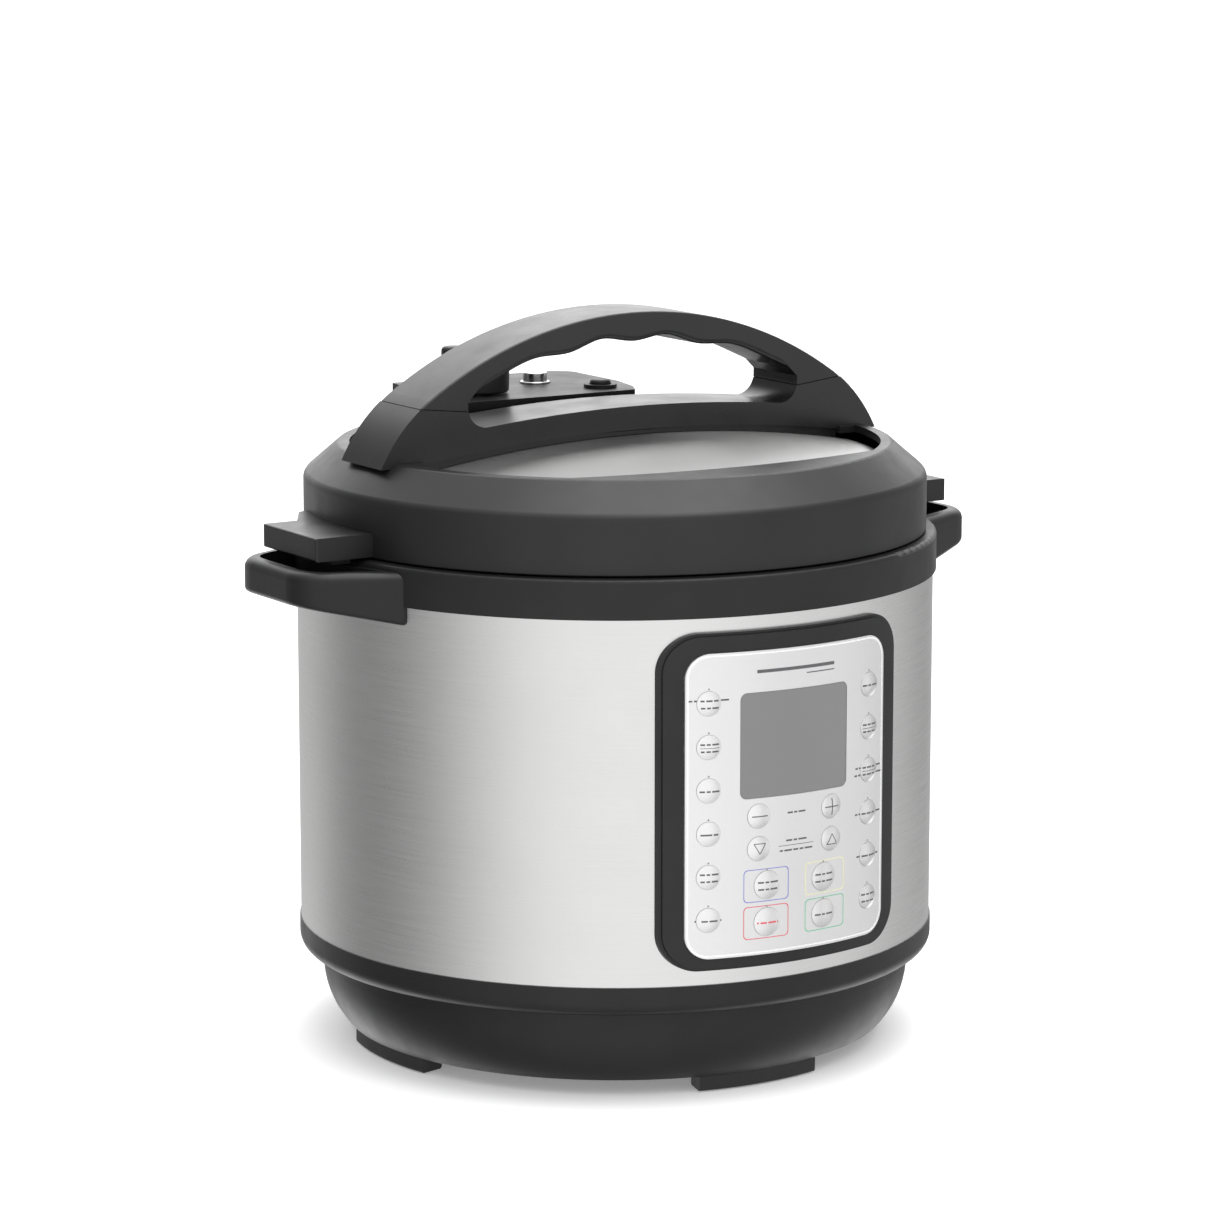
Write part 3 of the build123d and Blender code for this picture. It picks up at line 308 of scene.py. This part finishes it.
MATERIALS = {
    "black_plastic": moulded("satin_black_plastic", BLACK, rough=0.4),
    "lid_plastic": moulded("lid_black_plastic", BLACK, rough=0.37, grain_depth=0.000008, level=0.45),
    "handle_plastic": moulded(
        "handle_black_plastic", BLACK, rough=0.31, grain_size=0.0006, grain_depth=0.000004, level=0.55
    ),
    "platform_plastic": moulded(
        "platform_black_plastic", BLACK, rough=0.42, grain_size=0.0006, grain_depth=0.000018
    ),
    "knob_plastic": moulded("knob_black_plastic", SOFT_BLACK, rough=0.42),
    "bezel_plastic": moulded(
        "bezel_black_plastic", SOFT_BLACK, rough=0.36, grain_size=0.0008, grain_depth=0.000006
    ),
    "foot_rubber": moulded(
        "foot_rubber", (0.02, 0.02, 0.02), rough=0.62, grain_size=0.0008, grain_depth=0.00002
    ),
    "inlet_plastic": moulded("inlet_black_plastic", BLACK, rough=0.5),
    "rail_plastic": moulded("rail_black_plastic", BLACK, rough=0.46),
    "component_plastic": moulded(
        "component_plastic", (0.7, 0.67, 0.6), rough=0.5, grain_size=0.0008, level=0.5
    ),
    "brushed_shell": brushed("brushed_steel_shell", STEEL, rough=0.3, depth=0.0000025),
    "lid_steel": brushed(
        "satin_lid_steel", LID_STEEL, rough=0.4, depth=0.000003, anisotropic=0.3, turned=True
    ),
    "inner_steel": brushed("inner_housing_steel", HOUSING_STEEL, rough=0.4, depth=0.000004),
    "pot_steel": brushed("pot_steel", POT_STEEL, rough=0.2, depth=0.000003),
    "pipe_steel": metal("turned_pipe_steel", (0.72, 0.72, 0.71), rough=0.25),
    "float_metal": metal("polished_float", (0.85, 0.85, 0.85), rough=0.12),
    "screw_steel": metal("zinc_screws", (0.6, 0.6, 0.61), rough=0.32),
    "spring_steel": metal("spring_wire", (0.55, 0.55, 0.56), rough=0.3),
    "rack_wire": metal("rack_wire_steel", (0.75, 0.75, 0.75), rough=0.18),
    "element_sheath": metal("heat_tinted_sheath", (0.32, 0.29, 0.26), rough=0.5),
    "cast_aluminium": metal(
        "cast_aluminium", (0.66, 0.66, 0.67), rough=0.42, pit_size=0.001, pit_depth=0.00004
    ),
    "circuit_board": board("circuit_board_mask"),
    "silver_film": film("pearl_silver_film", (0.82, 0.82, 0.82), rough=0.34, coat=0.2, metallic=0.85),
    "display_grey": film("display_window_grey", (0.165, 0.165, 0.165), rough=0.3, coat=0.5, flake=0.015),
    "display_frame": film("display_module", (0.45, 0.47, 0.45), rough=0.3, coat=0.3),
    "key_dome": film("pearl_key_dome", (0.86, 0.86, 0.86), rough=0.17, coat=0.3, metallic=0.95),
    "clear_cup": clear("clear_cup_plastic", (0.9, 0.92, 0.93)),
    "silicone_ring": silicone("ring_silicone", (0.78, 0.78, 0.76)),
    "silicone_seal": silicone("seal_silicone", (0.7, 0.7, 0.68)),
}


def ink(name, shade):
    """Matt printing ink on the panel's film."""
    return film(name, shade, rough=0.45, coat=0.2)


PRINT = {
    "dark": ink("print_dark_grey", (0.085, 0.085, 0.09)),
    # grey: the dots over the smaller keys, partly painted shade of the notch over each key
    "grey": ink("print_mid_grey", (0.22, 0.22, 0.225)),
    # edge: a painted highlight, the bright line where light catches the front sheet's edge
    "edge": film("print_bright_edge", (0.93, 0.93, 0.93), rough=0.2, coat=0.4, metallic=0.5),
    "blue": ink("print_blue_violet", (0.16, 0.16, 0.50)),
    "yellow": ink("print_pale_yellow", (0.66, 0.65, 0.36)),
    "red": ink("print_red", (0.60, 0.07, 0.10)),
    "green": ink("print_green", (0.10, 0.42, 0.24)),
}


def dress_cad_nodes():
    """Every CAD node gets the material of its slot."""
    for part in frame["record"]["subparts"]:
        mesh = nodes[part["node"]].data
        mesh.materials.clear()
        mesh.materials.append(MATERIALS[part["material_slot"]])


# ---------------------------------------------------------------- printing on curved surfaces
PRINT_HEIGHT = 0.00004  # how far the printing stands out of its surface
PRINT_SINK = 0.00006  # how far it reaches in
PRINT_STEP = 0.0008  # the longest straight run that still follows a curved surface
DOME_DEPTH = 0.00075  # how far down from its top a key's mesh is still dome
RIM_BAND = 0.0002  # how near its largest radius the dome's edge is


def centre_of(node):
    """The middle of a node's box."""
    low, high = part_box(node)
    return (low + high) / 2


def outer_radius(node):
    """Largest distance of a node's mesh from the Z axis."""
    return max(math.hypot(v.co.x, v.co.y) for v in nodes[node].data.vertices)


SHEET_R = outer_radius("panel_overlay")


def on_sheet(u, v, height):
    """A point of the front sheet: u along its curve from the middle, v its height."""
    angle = u / SHEET_R
    r = SHEET_R + height
    return Vector((r * math.sin(angle), -r * math.cos(angle), v))


class Key:
    """A key's place and shape, read from its CAD node and its joint."""

    def __init__(self, body):
        self.body = body
        axis = Vector(joints[body]["axis"])
        self.out = -axis.normalized()
        self.side = UP.cross(self.out)
        mesh = nodes[body].data
        self.centre = centre_of(body)
        reach = [((v.co - self.centre).dot(self.out), v.co) for v in mesh.vertices]
        self.top = max(d for d, co in reach)
        dome = [
            (d, (co - self.centre - d * self.out).length)
            for d, co in reach if d > self.top - DOME_DEPTH
        ]
        self.radius = max(span for d, span in dome)
        self.u = math.atan2(self.out.x, -self.out.y) * SHEET_R
        self.v = self.centre.z
        sag = self.top - min(d for d, span in dome if span > self.radius - RIM_BAND)
        self.curve = (self.radius**2 + sag**2) / (2 * sag)

    def place(self, u, v, height):
        """A point of the dome: u sideways and v up from its middle."""
        drop = self.curve - math.sqrt(self.curve**2 - u * u - v * v)
        return self.centre + self.side * u + UP * v + self.out * (self.top - drop + height)


def new_piece(name, bm, material, body):
    """A mesh object that rides on a body and takes its finish from a slot."""
    bmesh.ops.recalc_face_normals(bm, faces=bm.faces)
    mesh = bpy.data.meshes.new(name)
    bm.to_mesh(mesh)
    bm.free()
    mesh.materials.append(material)
    piece = bpy.data.objects.new(name, mesh)
    collection.objects.link(piece)
    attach(piece, body)
    return piece


def add_slab(bm, place, grid):
    """A thin closed slab over a grid of (u, v) rows, put on a surface by place."""
    layers = []
    for height in (PRINT_HEIGHT, -PRINT_SINK):
        layers.append([[bm.verts.new(place(u, v, height)) for u, v in row] for row in grid])
    top, under = layers
    rows = len(grid)
    columns = len(grid[0])
    for layer in layers:
        for i in range(rows - 1):
            for j in range(columns - 1):
                bm.faces.new((layer[i][j], layer[i][j + 1], layer[i + 1][j + 1], layer[i + 1][j]))
    border = [(0, j) for j in range(columns)]
    border += [(i, columns - 1) for i in range(1, rows)]
    border += [(rows - 1, j) for j in range(columns - 2, -1, -1)]
    border += [(i, 0) for i in range(rows - 2, 0, -1)]
    for (i, j), (k, m) in zip(border, border[1:] + border[:1]):
        bm.faces.new((top[i][j], top[k][m], under[k][m], under[i][j]))


def add_bar(bm, place, u0, u1, v0, v1):
    """A rectangle, divided so that it follows the curve."""
    steps = max(1, math.ceil((u1 - u0) / PRINT_STEP))
    lifts = max(1, math.ceil((v1 - v0) / PRINT_STEP))
    grid = []
    for i in range(lifts + 1):
        v = v0 + (v1 - v0) * i / lifts
        grid.append([(u0 + (u1 - u0) * j / steps, v) for j in range(steps + 1)])
    add_slab(bm, place, grid)


def add_line(bm, place, start, end, width):
    """A straight stroke between two points."""
    start, end = Vector(start), Vector(end)
    along = end - start
    across = Vector((-along.y, along.x)).normalized() * width / 2
    steps = max(1, math.ceil(along.length / PRINT_STEP))
    points = [start + along * i / steps for i in range(steps + 1)]
    add_slab(bm, place, [[tuple(p - across) for p in points], [tuple(p + across) for p in points]])


def rounded_loop(half_u, half_v, corner, turn_steps=6):
    """Points round a rounded rectangle about the origin, dense enough to follow a curve."""
    corners = ((1, 1, 0), (-1, 1, 90), (-1, -1, 180), (1, -1, 270))

    def on_corner(index, turned):
        side_u, side_v, start = corners[index % 4]
        a = math.radians(start + turned)
        u = side_u * (half_u - corner) + corner * math.cos(a)
        return u, side_v * (half_v - corner) + corner * math.sin(a)

    loop = []
    for index in range(4):
        loop += [on_corner(index, 90 * step / turn_steps) for step in range(turn_steps + 1)]
        here = loop[-1]
        end = on_corner(index + 1, 0)
        steps = max(1, math.ceil(math.dist(here, end) / PRINT_STEP))
        for step in range(1, steps):
            t = step / steps
            loop.append((here[0] + (end[0] - here[0]) * t, here[1] + (end[1] - here[1]) * t))
    return loop


def add_frame(bm, place, u, v, half_u, half_v, corner, width):
    """The outline of a rounded rectangle."""
    outer = rounded_loop(half_u, half_v, corner)
    shrink_u = (half_u - width) / half_u
    shrink_v = (half_v - width) / half_v
    inner = [(a * shrink_u, b * shrink_v) for a, b in outer]
    rings = []
    section = ((outer, PRINT_HEIGHT), (inner, PRINT_HEIGHT), (inner, -PRINT_SINK), (outer, -PRINT_SINK))
    for loop, height in section:
        rings.append([bm.verts.new(place(u + a, v + b, height)) for a, b in loop])
    count = len(outer)
    for k in range(4):
        first, second = rings[k], rings[(k + 1) % 4]
        for i in range(count):
            j = (i + 1) % count
            bm.faces.new((first[i], first[j], second[j], second[i]))


def add_dot(bm, place, u, v, radius, sides=16):
    """A round dot."""
    tops, lows = [], []
    for i in range(sides):
        a = 2 * math.pi * i / sides
        du, dv = radius * math.cos(a), radius * math.sin(a)
        tops.append(bm.verts.new(place(u + du, v + dv, PRINT_HEIGHT)))
        lows.append(bm.verts.new(place(u + du, v + dv, -PRINT_SINK)))
    bm.faces.new(tops)
    bm.faces.new(lows[::-1])
    for i in range(sides):
        j = (i + 1) % sides
        bm.faces.new((tops[i], tops[j], lows[j], lows[i]))


# ---------------------------------------------------------------- what is printed
DASH_GAP = 0.0006  # between two dashes of a word
DASH_H = 0.00062
SHORTEST_DASH = 0.0003
ROW_PITCH = 0.0026
ROW_SHIFT = -0.0002
DOME_MARGIN = 0.0003  # free rim of a key inside the printing on it
SHEET_MARGIN = 0.0004  # free ring of the sheet round a key
UNDERLINE_MARGIN = 0.0005
UNDERLINE = (-0.0003, -0.0001)  # its lower and upper edge on the key
SIGN_W = 0.0003
BOLD_SIGN_W = 0.00042
SIGN_ARM = 0.0031  # from the middle of plus and minus to their ends
TRIANGLE_HALF = 0.0023
TRIANGLE_H = 0.0038
OUTLINE_HALF_U = 0.0091
OUTLINE_HALF_V = 0.0060
OUTLINE_CORNER = 0.0016
OUTLINE_W = 0.00028
OUTLINE_SHIFT_RIGHT = 0.0009  # the outlines stand a little to one side of their keys
OUTLINE_SHIFT_LEFT = -0.0002
DOT_R = 0.00034
DOT_RISE = 0.0011  # from a key's rim up to the dot's middle
DOTTED_KEY_R = 0.0048  # keys smaller than this have a dot over them
LEGEND_STEP = 0.0018  # from the arrow keys' middle line to the legend over and under it
RULE_HALF_U = 0.0075
RULE_HALF_V = 0.0001
TITLE_HALF_U = 0.0165
TITLE_HALF_V = 0.0006
SUBTITLE_U = 0.0040  # where the line under the title begins
SUBTITLE_V = (-0.0024, -0.0020)
EDGE_W = 0.0005  # the painted highlight round the front sheet, a bright line where light catches its edge
EDGE_INSET = 0.0007
EDGE_CORNER = 0.0075

# For each key its rows of printing: the length of a row and how many dashes it has.
KEY_ROWS = {
    "key_left_1": [(0.0150, 5), (0.0082, 3)],
    "key_left_2": [(0.0086, 3), (0.0094, 3)],
    "key_left_3": [(0.0084, 3)],
    "key_left_4": [(0.0066, 2)],
    "key_left_5": [(0.0078, 3), (0.0080, 3)],
    "key_left_6": [(0.0100, 4)],
    "key_right_1": [(0.0080, 3)],
    "key_right_2": [(0.0088, 3), (0.0092, 3)],
    "key_right_3": [(0.0140, 5), (0.0150, 5)],
    "key_right_4": [(0.0140, 5)],
    "key_right_5": [(0.0120, 4)],
    "key_right_6": [(0.0082, 3), (0.0080, 3)],
    "key_delay": [(0.0086, 3), (0.0080, 3)],
    "key_warm": [(0.0078, 3), (0.0082, 3)],
    "key_cancel": [(0.0104, 4)],
    "key_start": [(0.0080, 3)],
}
UNDERLINED_KEYS = ("key_left_2", "key_right_2", "key_right_3")
OUTLINED_KEYS = {"key_delay": "blue", "key_warm": "yellow", "key_cancel": "red", "key_start": "green"}


def on_base(name, bm, colour):
    """Printing on the front sheet, which stands still."""
    return new_piece(name, bm, PRINT[colour], "base")


def on_key(name, bm, colour, key):
    """Printing on a key, which moves with it."""
    return new_piece(name, bm, PRINT[colour], key.body)


def short_name(body):
    """A key's name without its prefix."""
    return body.replace("key_", "")


def dash_row(length, pieces):
    """Dashes of uneven length in a row about u = 0, standing in for a word."""
    uneven, turn = 0.45, 2.3
    share = [1.0 + uneven * math.sin(turn * i + pieces) for i in range(pieces)]
    free = length - DASH_GAP * (pieces - 1)
    at = -length / 2
    row = []
    for part in share:
        size = free * part / sum(share)
        row.append((at, at + size))
        at += size + DASH_GAP
    return row


def label_key(key, rows, colour, underlined):
    """Dashes over a key: those inside the dome ride on it, the rest are on the sheet."""
    dome = bmesh.new()
    sheet = bmesh.new()
    past_rim = key.radius + SHEET_MARGIN
    for index, (length, pieces) in enumerate(rows):
        v = ROW_PITCH * ((len(rows) - 1) / 2 - index) + ROW_SHIFT
        v0, v1 = v - DASH_H / 2, v + DASH_H / 2
        inside = math.sqrt(max(0.0, (key.radius - DOME_MARGIN) ** 2 - (abs(v) + DASH_H / 2) ** 2))
        for u0, u1 in dash_row(length, pieces):
            low, high = max(u0, -inside), min(u1, inside)
            if high - low > SHORTEST_DASH:
                add_bar(dome, key.place, low, high, v0, v1)
            for a, b in ((u0, min(u1, -past_rim)), (max(u0, past_rim), u1)):
                if b - a > SHORTEST_DASH:
                    add_bar(sheet, on_sheet, key.u + a, key.u + b, key.v + v0, key.v + v1)
    if underlined:
        half = min(key.radius - UNDERLINE_MARGIN, rows[0][0] / 2)
        add_bar(dome, key.place, -half, half, *UNDERLINE)
    on_key(f"mark_{short_name(key.body)}", dome, colour, key)
    if sheet.verts:
        on_base(f"mark_{short_name(key.body)}_side", sheet, colour)
    else:
        sheet.free()


def print_labels(keys):
    """The rows of dashes on the keys and beside them."""
    for body, rows in KEY_ROWS.items():
        colour = "red" if body == "key_cancel" else "dark"
        label_key(keys[body], rows, colour, body in UNDERLINED_KEYS)


def triangle(up):
    """The three strokes of a triangle that points up or down."""
    tip = TRIANGLE_H / 2 if up else -TRIANGLE_H / 2
    corners = [(-TRIANGLE_HALF, -tip), (TRIANGLE_HALF, -tip), (0.0, tip)]
    return list(zip(corners, corners[1:] + corners[:1]))


def sign_key(key, strokes, width):
    """A sign made of straight strokes on a key's dome."""
    bm = bmesh.new()
    for start, end in strokes:
        add_line(bm, key.place, start, end, width)
    on_key("sign_" + short_name(key.body), bm, "dark", key)


def print_signs(keys):
    """Minus, plus and the two triangles."""
    level = ((-SIGN_ARM, 0.0), (SIGN_ARM, 0.0))
    upright = ((0.0, -SIGN_ARM), (0.0, SIGN_ARM))
    sign_key(keys["key_minus"], [level], BOLD_SIGN_W)
    sign_key(keys["key_plus"], [level, upright], BOLD_SIGN_W)
    sign_key(keys["key_down"], triangle(up=False), SIGN_W)
    sign_key(keys["key_up"], triangle(up=True), SIGN_W)


def print_outlines(keys):
    """The coloured outlines round the four command keys."""
    for body, colour in OUTLINED_KEYS.items():
        key = keys[body]
        bm = bmesh.new()
        u = key.u + (OUTLINE_SHIFT_RIGHT if key.u > 0 else OUTLINE_SHIFT_LEFT)
        add_frame(bm, on_sheet, u, key.v, OUTLINE_HALF_U, OUTLINE_HALF_V, OUTLINE_CORNER, OUTLINE_W)
        on_base("outline_" + short_name(body), bm, colour)


def print_dots(keys):
    """A dot over each of the smaller keys: grey print for an indicator mark, and painted shade of the
    notch over the key.
    """
    bm = bmesh.new()
    for body in KEY_ROWS:
        key = keys[body]
        if key.radius < DOTTED_KEY_R:
            add_dot(bm, on_sheet, key.u, key.v + key.radius + DOT_RISE, DOT_R)
    on_base("indicator_dots", bm, "grey")


def print_legends(keys):
    """The legends between minus and plus and between the arrows, and the rule in the middle."""
    bm = bmesh.new()
    between_signs = keys["key_minus"].v
    between_arrows = keys["key_down"].v
    legends = (  # height, length and number of dashes
        (between_signs, 0.0076, 3),
        (between_arrows + LEGEND_STEP, 0.0088, 3),
        (between_arrows - LEGEND_STEP, 0.0140, 5),
    )
    for v, length, pieces in legends:
        for u0, u1 in dash_row(length, pieces):
            add_bar(bm, on_sheet, u0, u1, v - DASH_H / 2, v + DASH_H / 2)
    rule = (between_arrows - RULE_HALF_V, between_arrows + RULE_HALF_V)
    add_bar(bm, on_sheet, -RULE_HALF_U, RULE_HALF_U, *rule)
    on_base("legend_bars", bm, "dark")


def paint_sheet_edge_highlight():
    """A painted highlight: the bright line round the front sheet, where light catches its edge."""
    low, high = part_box("panel_overlay")
    bm = bmesh.new()
    half_u = SHEET_R * math.asin(high.x / SHEET_R) - EDGE_INSET
    half_v = (high.z - low.z) / 2 - EDGE_INSET
    add_frame(bm, on_sheet, 0.0, (low.z + high.z) / 2, half_u, half_v, EDGE_CORNER, EDGE_W)
    on_base("sheet_edge", bm, "edge")


def print_title():
    """Two plain bars over the display."""
    middle = (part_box("display_lens")[1].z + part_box("panel_overlay")[1].z) / 2
    bm = bmesh.new()
    add_bar(bm, on_sheet, -TITLE_HALF_U, TITLE_HALF_U, middle - TITLE_HALF_V, middle + TITLE_HALF_V)
    add_bar(bm, on_sheet, SUBTITLE_U, TITLE_HALF_U, middle + SUBTITLE_V[0], middle + SUBTITLE_V[1])
    on_base("title_bar", bm, "dark")


def print_panel():
    """All the printing of the control panel, and the painted highlight round its front sheet."""
    keys = {body: Key(body) for body in frame["bodies"] if body.startswith("key_")}
    print_labels(keys)
    print_signs(keys)
    print_outlines(keys)
    print_dots(keys)
    print_legends(keys)
    paint_sheet_edge_highlight()
    print_title()


# ---------------------------------------------------------------- the pot's filling lines
POT_INSIDE_R = 0.0882
# For each filling line: its share of the pot's height, and half its arc in degrees.
LEVEL_LINES = ((0.25, 3.0), (0.5, 6.0), (0.6, 3.5), (0.667, 8.0))
LEVEL_LINE_W = 0.0012
LEVEL_LINE_RISE = 0.0003
LEVEL_LINE_ROOT = 0.0002  # how far a line reaches into the wall
BACK = 90.0  # the angle of the pot's rear, in degrees


def arc_rib(bm, z, start, end, steps=28):
    """A raised line on the inside of the pot's wall, between two angles in degrees."""
    root = POT_INSIDE_R + LEVEL_LINE_ROOT
    crest = POT_INSIDE_R - LEVEL_LINE_RISE
    half = LEVEL_LINE_W / 2
    section = ((root, z - half), (crest, z - half / 2), (crest, z + half / 2), (root, z + half))
    rings = []
    for step in range(steps + 1):
        a = math.radians(start + (end - start) * step / steps)
        around = Vector((math.cos(a), math.sin(a), 0.0))
        rings.append([bm.verts.new(around * r + UP * level) for r, level in section])
    for first, second in zip(rings, rings[1:]):
        for i in range(4):
            j = (i + 1) % 4
            bm.faces.new((first[i], first[j], second[j], second[i]))
    bm.faces.new(rings[0])
    bm.faces.new(rings[-1][::-1])


def pot_level_marks():
    """Raised filling lines on the pot's inner wall."""
    low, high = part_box("inner_pot")
    bm = bmesh.new()
    for share, half in LEVEL_LINES:
        arc_rib(bm, low.z + (high.z - low.z) * share, BACK - half, BACK + half)
    new_piece("pot_level_lines", bm, MATERIALS["pot_steel"], "pot")


# ---------------------------------------------------------------- studio
CAMERA_DISTANCE = 1.7157
CAMERA_ELEVATION = math.radians(10.289)
CAMERA_AZIMUTH = math.radians(-31.8)
CAMERA_TARGET = 0.158
CAMERA_LENS = 133.05  # focal length and sensor width in millimetres
SENSOR_WIDTH = 36.0
FLOOR_HALF = 9.0
FLOOR_DROP = 0.0004
FLOOR_GLOW = 0.22


def add_camera():
    """The camera at the viewing angle of a product shot, a little above and to the left."""
    level = CAMERA_DISTANCE * math.cos(CAMERA_ELEVATION)
    place = Vector((
        level * math.sin(CAMERA_AZIMUTH),
        -level * math.cos(CAMERA_AZIMUTH),
        CAMERA_TARGET + CAMERA_DISTANCE * math.sin(CAMERA_ELEVATION),
    ))
    data = bpy.data.cameras.new("camera")
    data.lens = CAMERA_LENS
    data.sensor_width = SENSOR_WIDTH
    data.clip_start = 0.05
    data.clip_end = 60.0
    camera = bpy.data.objects.new("camera", data)
    camera.location = place
    aim = Vector((0.0, 0.0, CAMERA_TARGET)) - place
    camera.rotation_euler = aim.to_track_quat("-Z", "Y").to_euler()
    collection.objects.link(camera)
    bpy.context.scene.camera = camera


def add_floor():
    """A wide pale floor just under the feet."""
    bm = bmesh.new()
    bmesh.ops.create_grid(bm, x_segments=24, y_segments=24, size=FLOOR_HALF)
    mesh = bpy.data.meshes.new("floor")
    bm.to_mesh(mesh)
    bm.free()
    graph = Graph("pale_floor")
    cloud = graph.noise(graph.position(), scale=3.0)
    graph.finish(
        colour=graph.tint(cloud, (0.93, 0.93, 0.93), (0.95, 0.95, 0.95)),
        roughness=graph.spread(cloud, 0.7, 0.8),
        Specular_IOR_Level=0.0,
        Emission_Color=(1.0, 1.0, 1.0, 1.0),
        Emission_Strength=FLOOR_GLOW,
    )
    mesh.materials.append(graph.material)
    floor = bpy.data.objects.new("floor", mesh)
    floor.location.z = -FLOOR_DROP
    floor.visible_glossy = False
    collection.objects.link(floor)


def add_softbox(name, place, aim, size, power):
    """A large soft lamp."""
    data = bpy.data.lights.new(name, "AREA")
    data.shape = "RECTANGLE"
    data.size, data.size_y = size
    data.energy = power
    lamp = bpy.data.objects.new(name, data)
    lamp.location = place
    lamp.rotation_euler = (Vector(aim) - Vector(place)).to_track_quat("-Z", "Y").to_euler()
    collection.objects.link(lamp)


# Each lobe of light: degrees round from the camera's side towards its right, elevation, how many
# degrees from its middle it fades out, and its brightness.
WORLD_LOBES = (
    (15.0, 0.0, 112.0, 0.76),
    (2.0, 0.0, 74.0, 0.28),
    (106.0, -4.0, 46.0, 0.39),
    (-162.0, -8.0, 58.0, 0.50),
    (180.0, 35.0, 46.0, 2.2),
    (0.0, 90.0, 62.0, 1.6),
    (145.0, -45.0, 34.0, 2.0),
    (-145.0, -45.0, 34.0, 2.0),
)
WORLD_BASE = 0.28
BACKDROP = 1.05


def add_world():
    """A soft studio: lobes of light over a dim base, and a plain pale backdrop for the camera."""
    world = bpy.data.worlds.new("studio")
    bpy.context.scene.world = world
    world.use_nodes = True
    tree = world.node_tree
    tree.nodes.clear()

    def add(kind, **settings):
        made = tree.nodes.new(kind)
        for key, value in settings.items():
            setattr(made, key, value)
        return made

    def plus(first, second):
        made = add("ShaderNodeMath", operation="ADD")
        tree.links.new(first, made.inputs[0])
        if isinstance(second, float):
            made.inputs[1].default_value = second
        else:
            tree.links.new(second, made.inputs[1])
        return made.outputs[0]

    direction = add("ShaderNodeTexCoord").outputs["Generated"]
    total = None
    facing = CAMERA_AZIMUTH - math.pi / 2
    for turn, elevation, width, brightness in WORLD_LOBES:
        a = facing + math.radians(turn)
        e = math.radians(elevation)
        centre = (math.cos(a) * math.cos(e), math.sin(a) * math.cos(e), math.sin(e))
        dot = add("ShaderNodeVectorMath", operation="DOT_PRODUCT")
        tree.links.new(direction, dot.inputs[0])
        dot.inputs[1].default_value = centre
        lobe = add("ShaderNodeMapRange", interpolation_type="SMOOTHSTEP")
        lobe.inputs["From Min"].default_value = math.cos(math.radians(width))
        lobe.inputs["From Max"].default_value = 1.0
        lobe.inputs["To Min"].default_value = 0.0
        lobe.inputs["To Max"].default_value = brightness
        tree.links.new(dot.outputs["Value"], lobe.inputs["Value"])
        light = lobe.outputs["Result"]
        total = light if total is None else plus(total, light)
    studio = add("ShaderNodeBackground")
    tree.links.new(plus(total, WORLD_BASE), studio.inputs["Strength"])
    backdrop = add("ShaderNodeBackground")
    backdrop.inputs["Strength"].default_value = BACKDROP
    paths = add("ShaderNodeLightPath")
    mix = add("ShaderNodeMixShader")
    tree.links.new(paths.outputs["Is Camera Ray"], mix.inputs[0])
    tree.links.new(studio.outputs[0], mix.inputs[1])
    tree.links.new(backdrop.outputs[0], mix.inputs[2])
    output = add("ShaderNodeOutputWorld")
    tree.links.new(mix.outputs[0], output.inputs["Surface"])


def set_stage():
    """Camera, floor, lamp and world."""
    add_camera()
    add_floor()
    add_world()
    add_softbox(
        "top_softbox", place=(0.2, -0.3, 1.9), aim=(0.0, 0.0, 0.1), size=(1.6, 1.6), power=16.0
    )
    bpy.context.scene.view_settings.view_transform = "Standard"


# ---------------------------------------------------------------- build
dress_cad_nodes()
print_panel()
pot_level_marks()
set_stage()
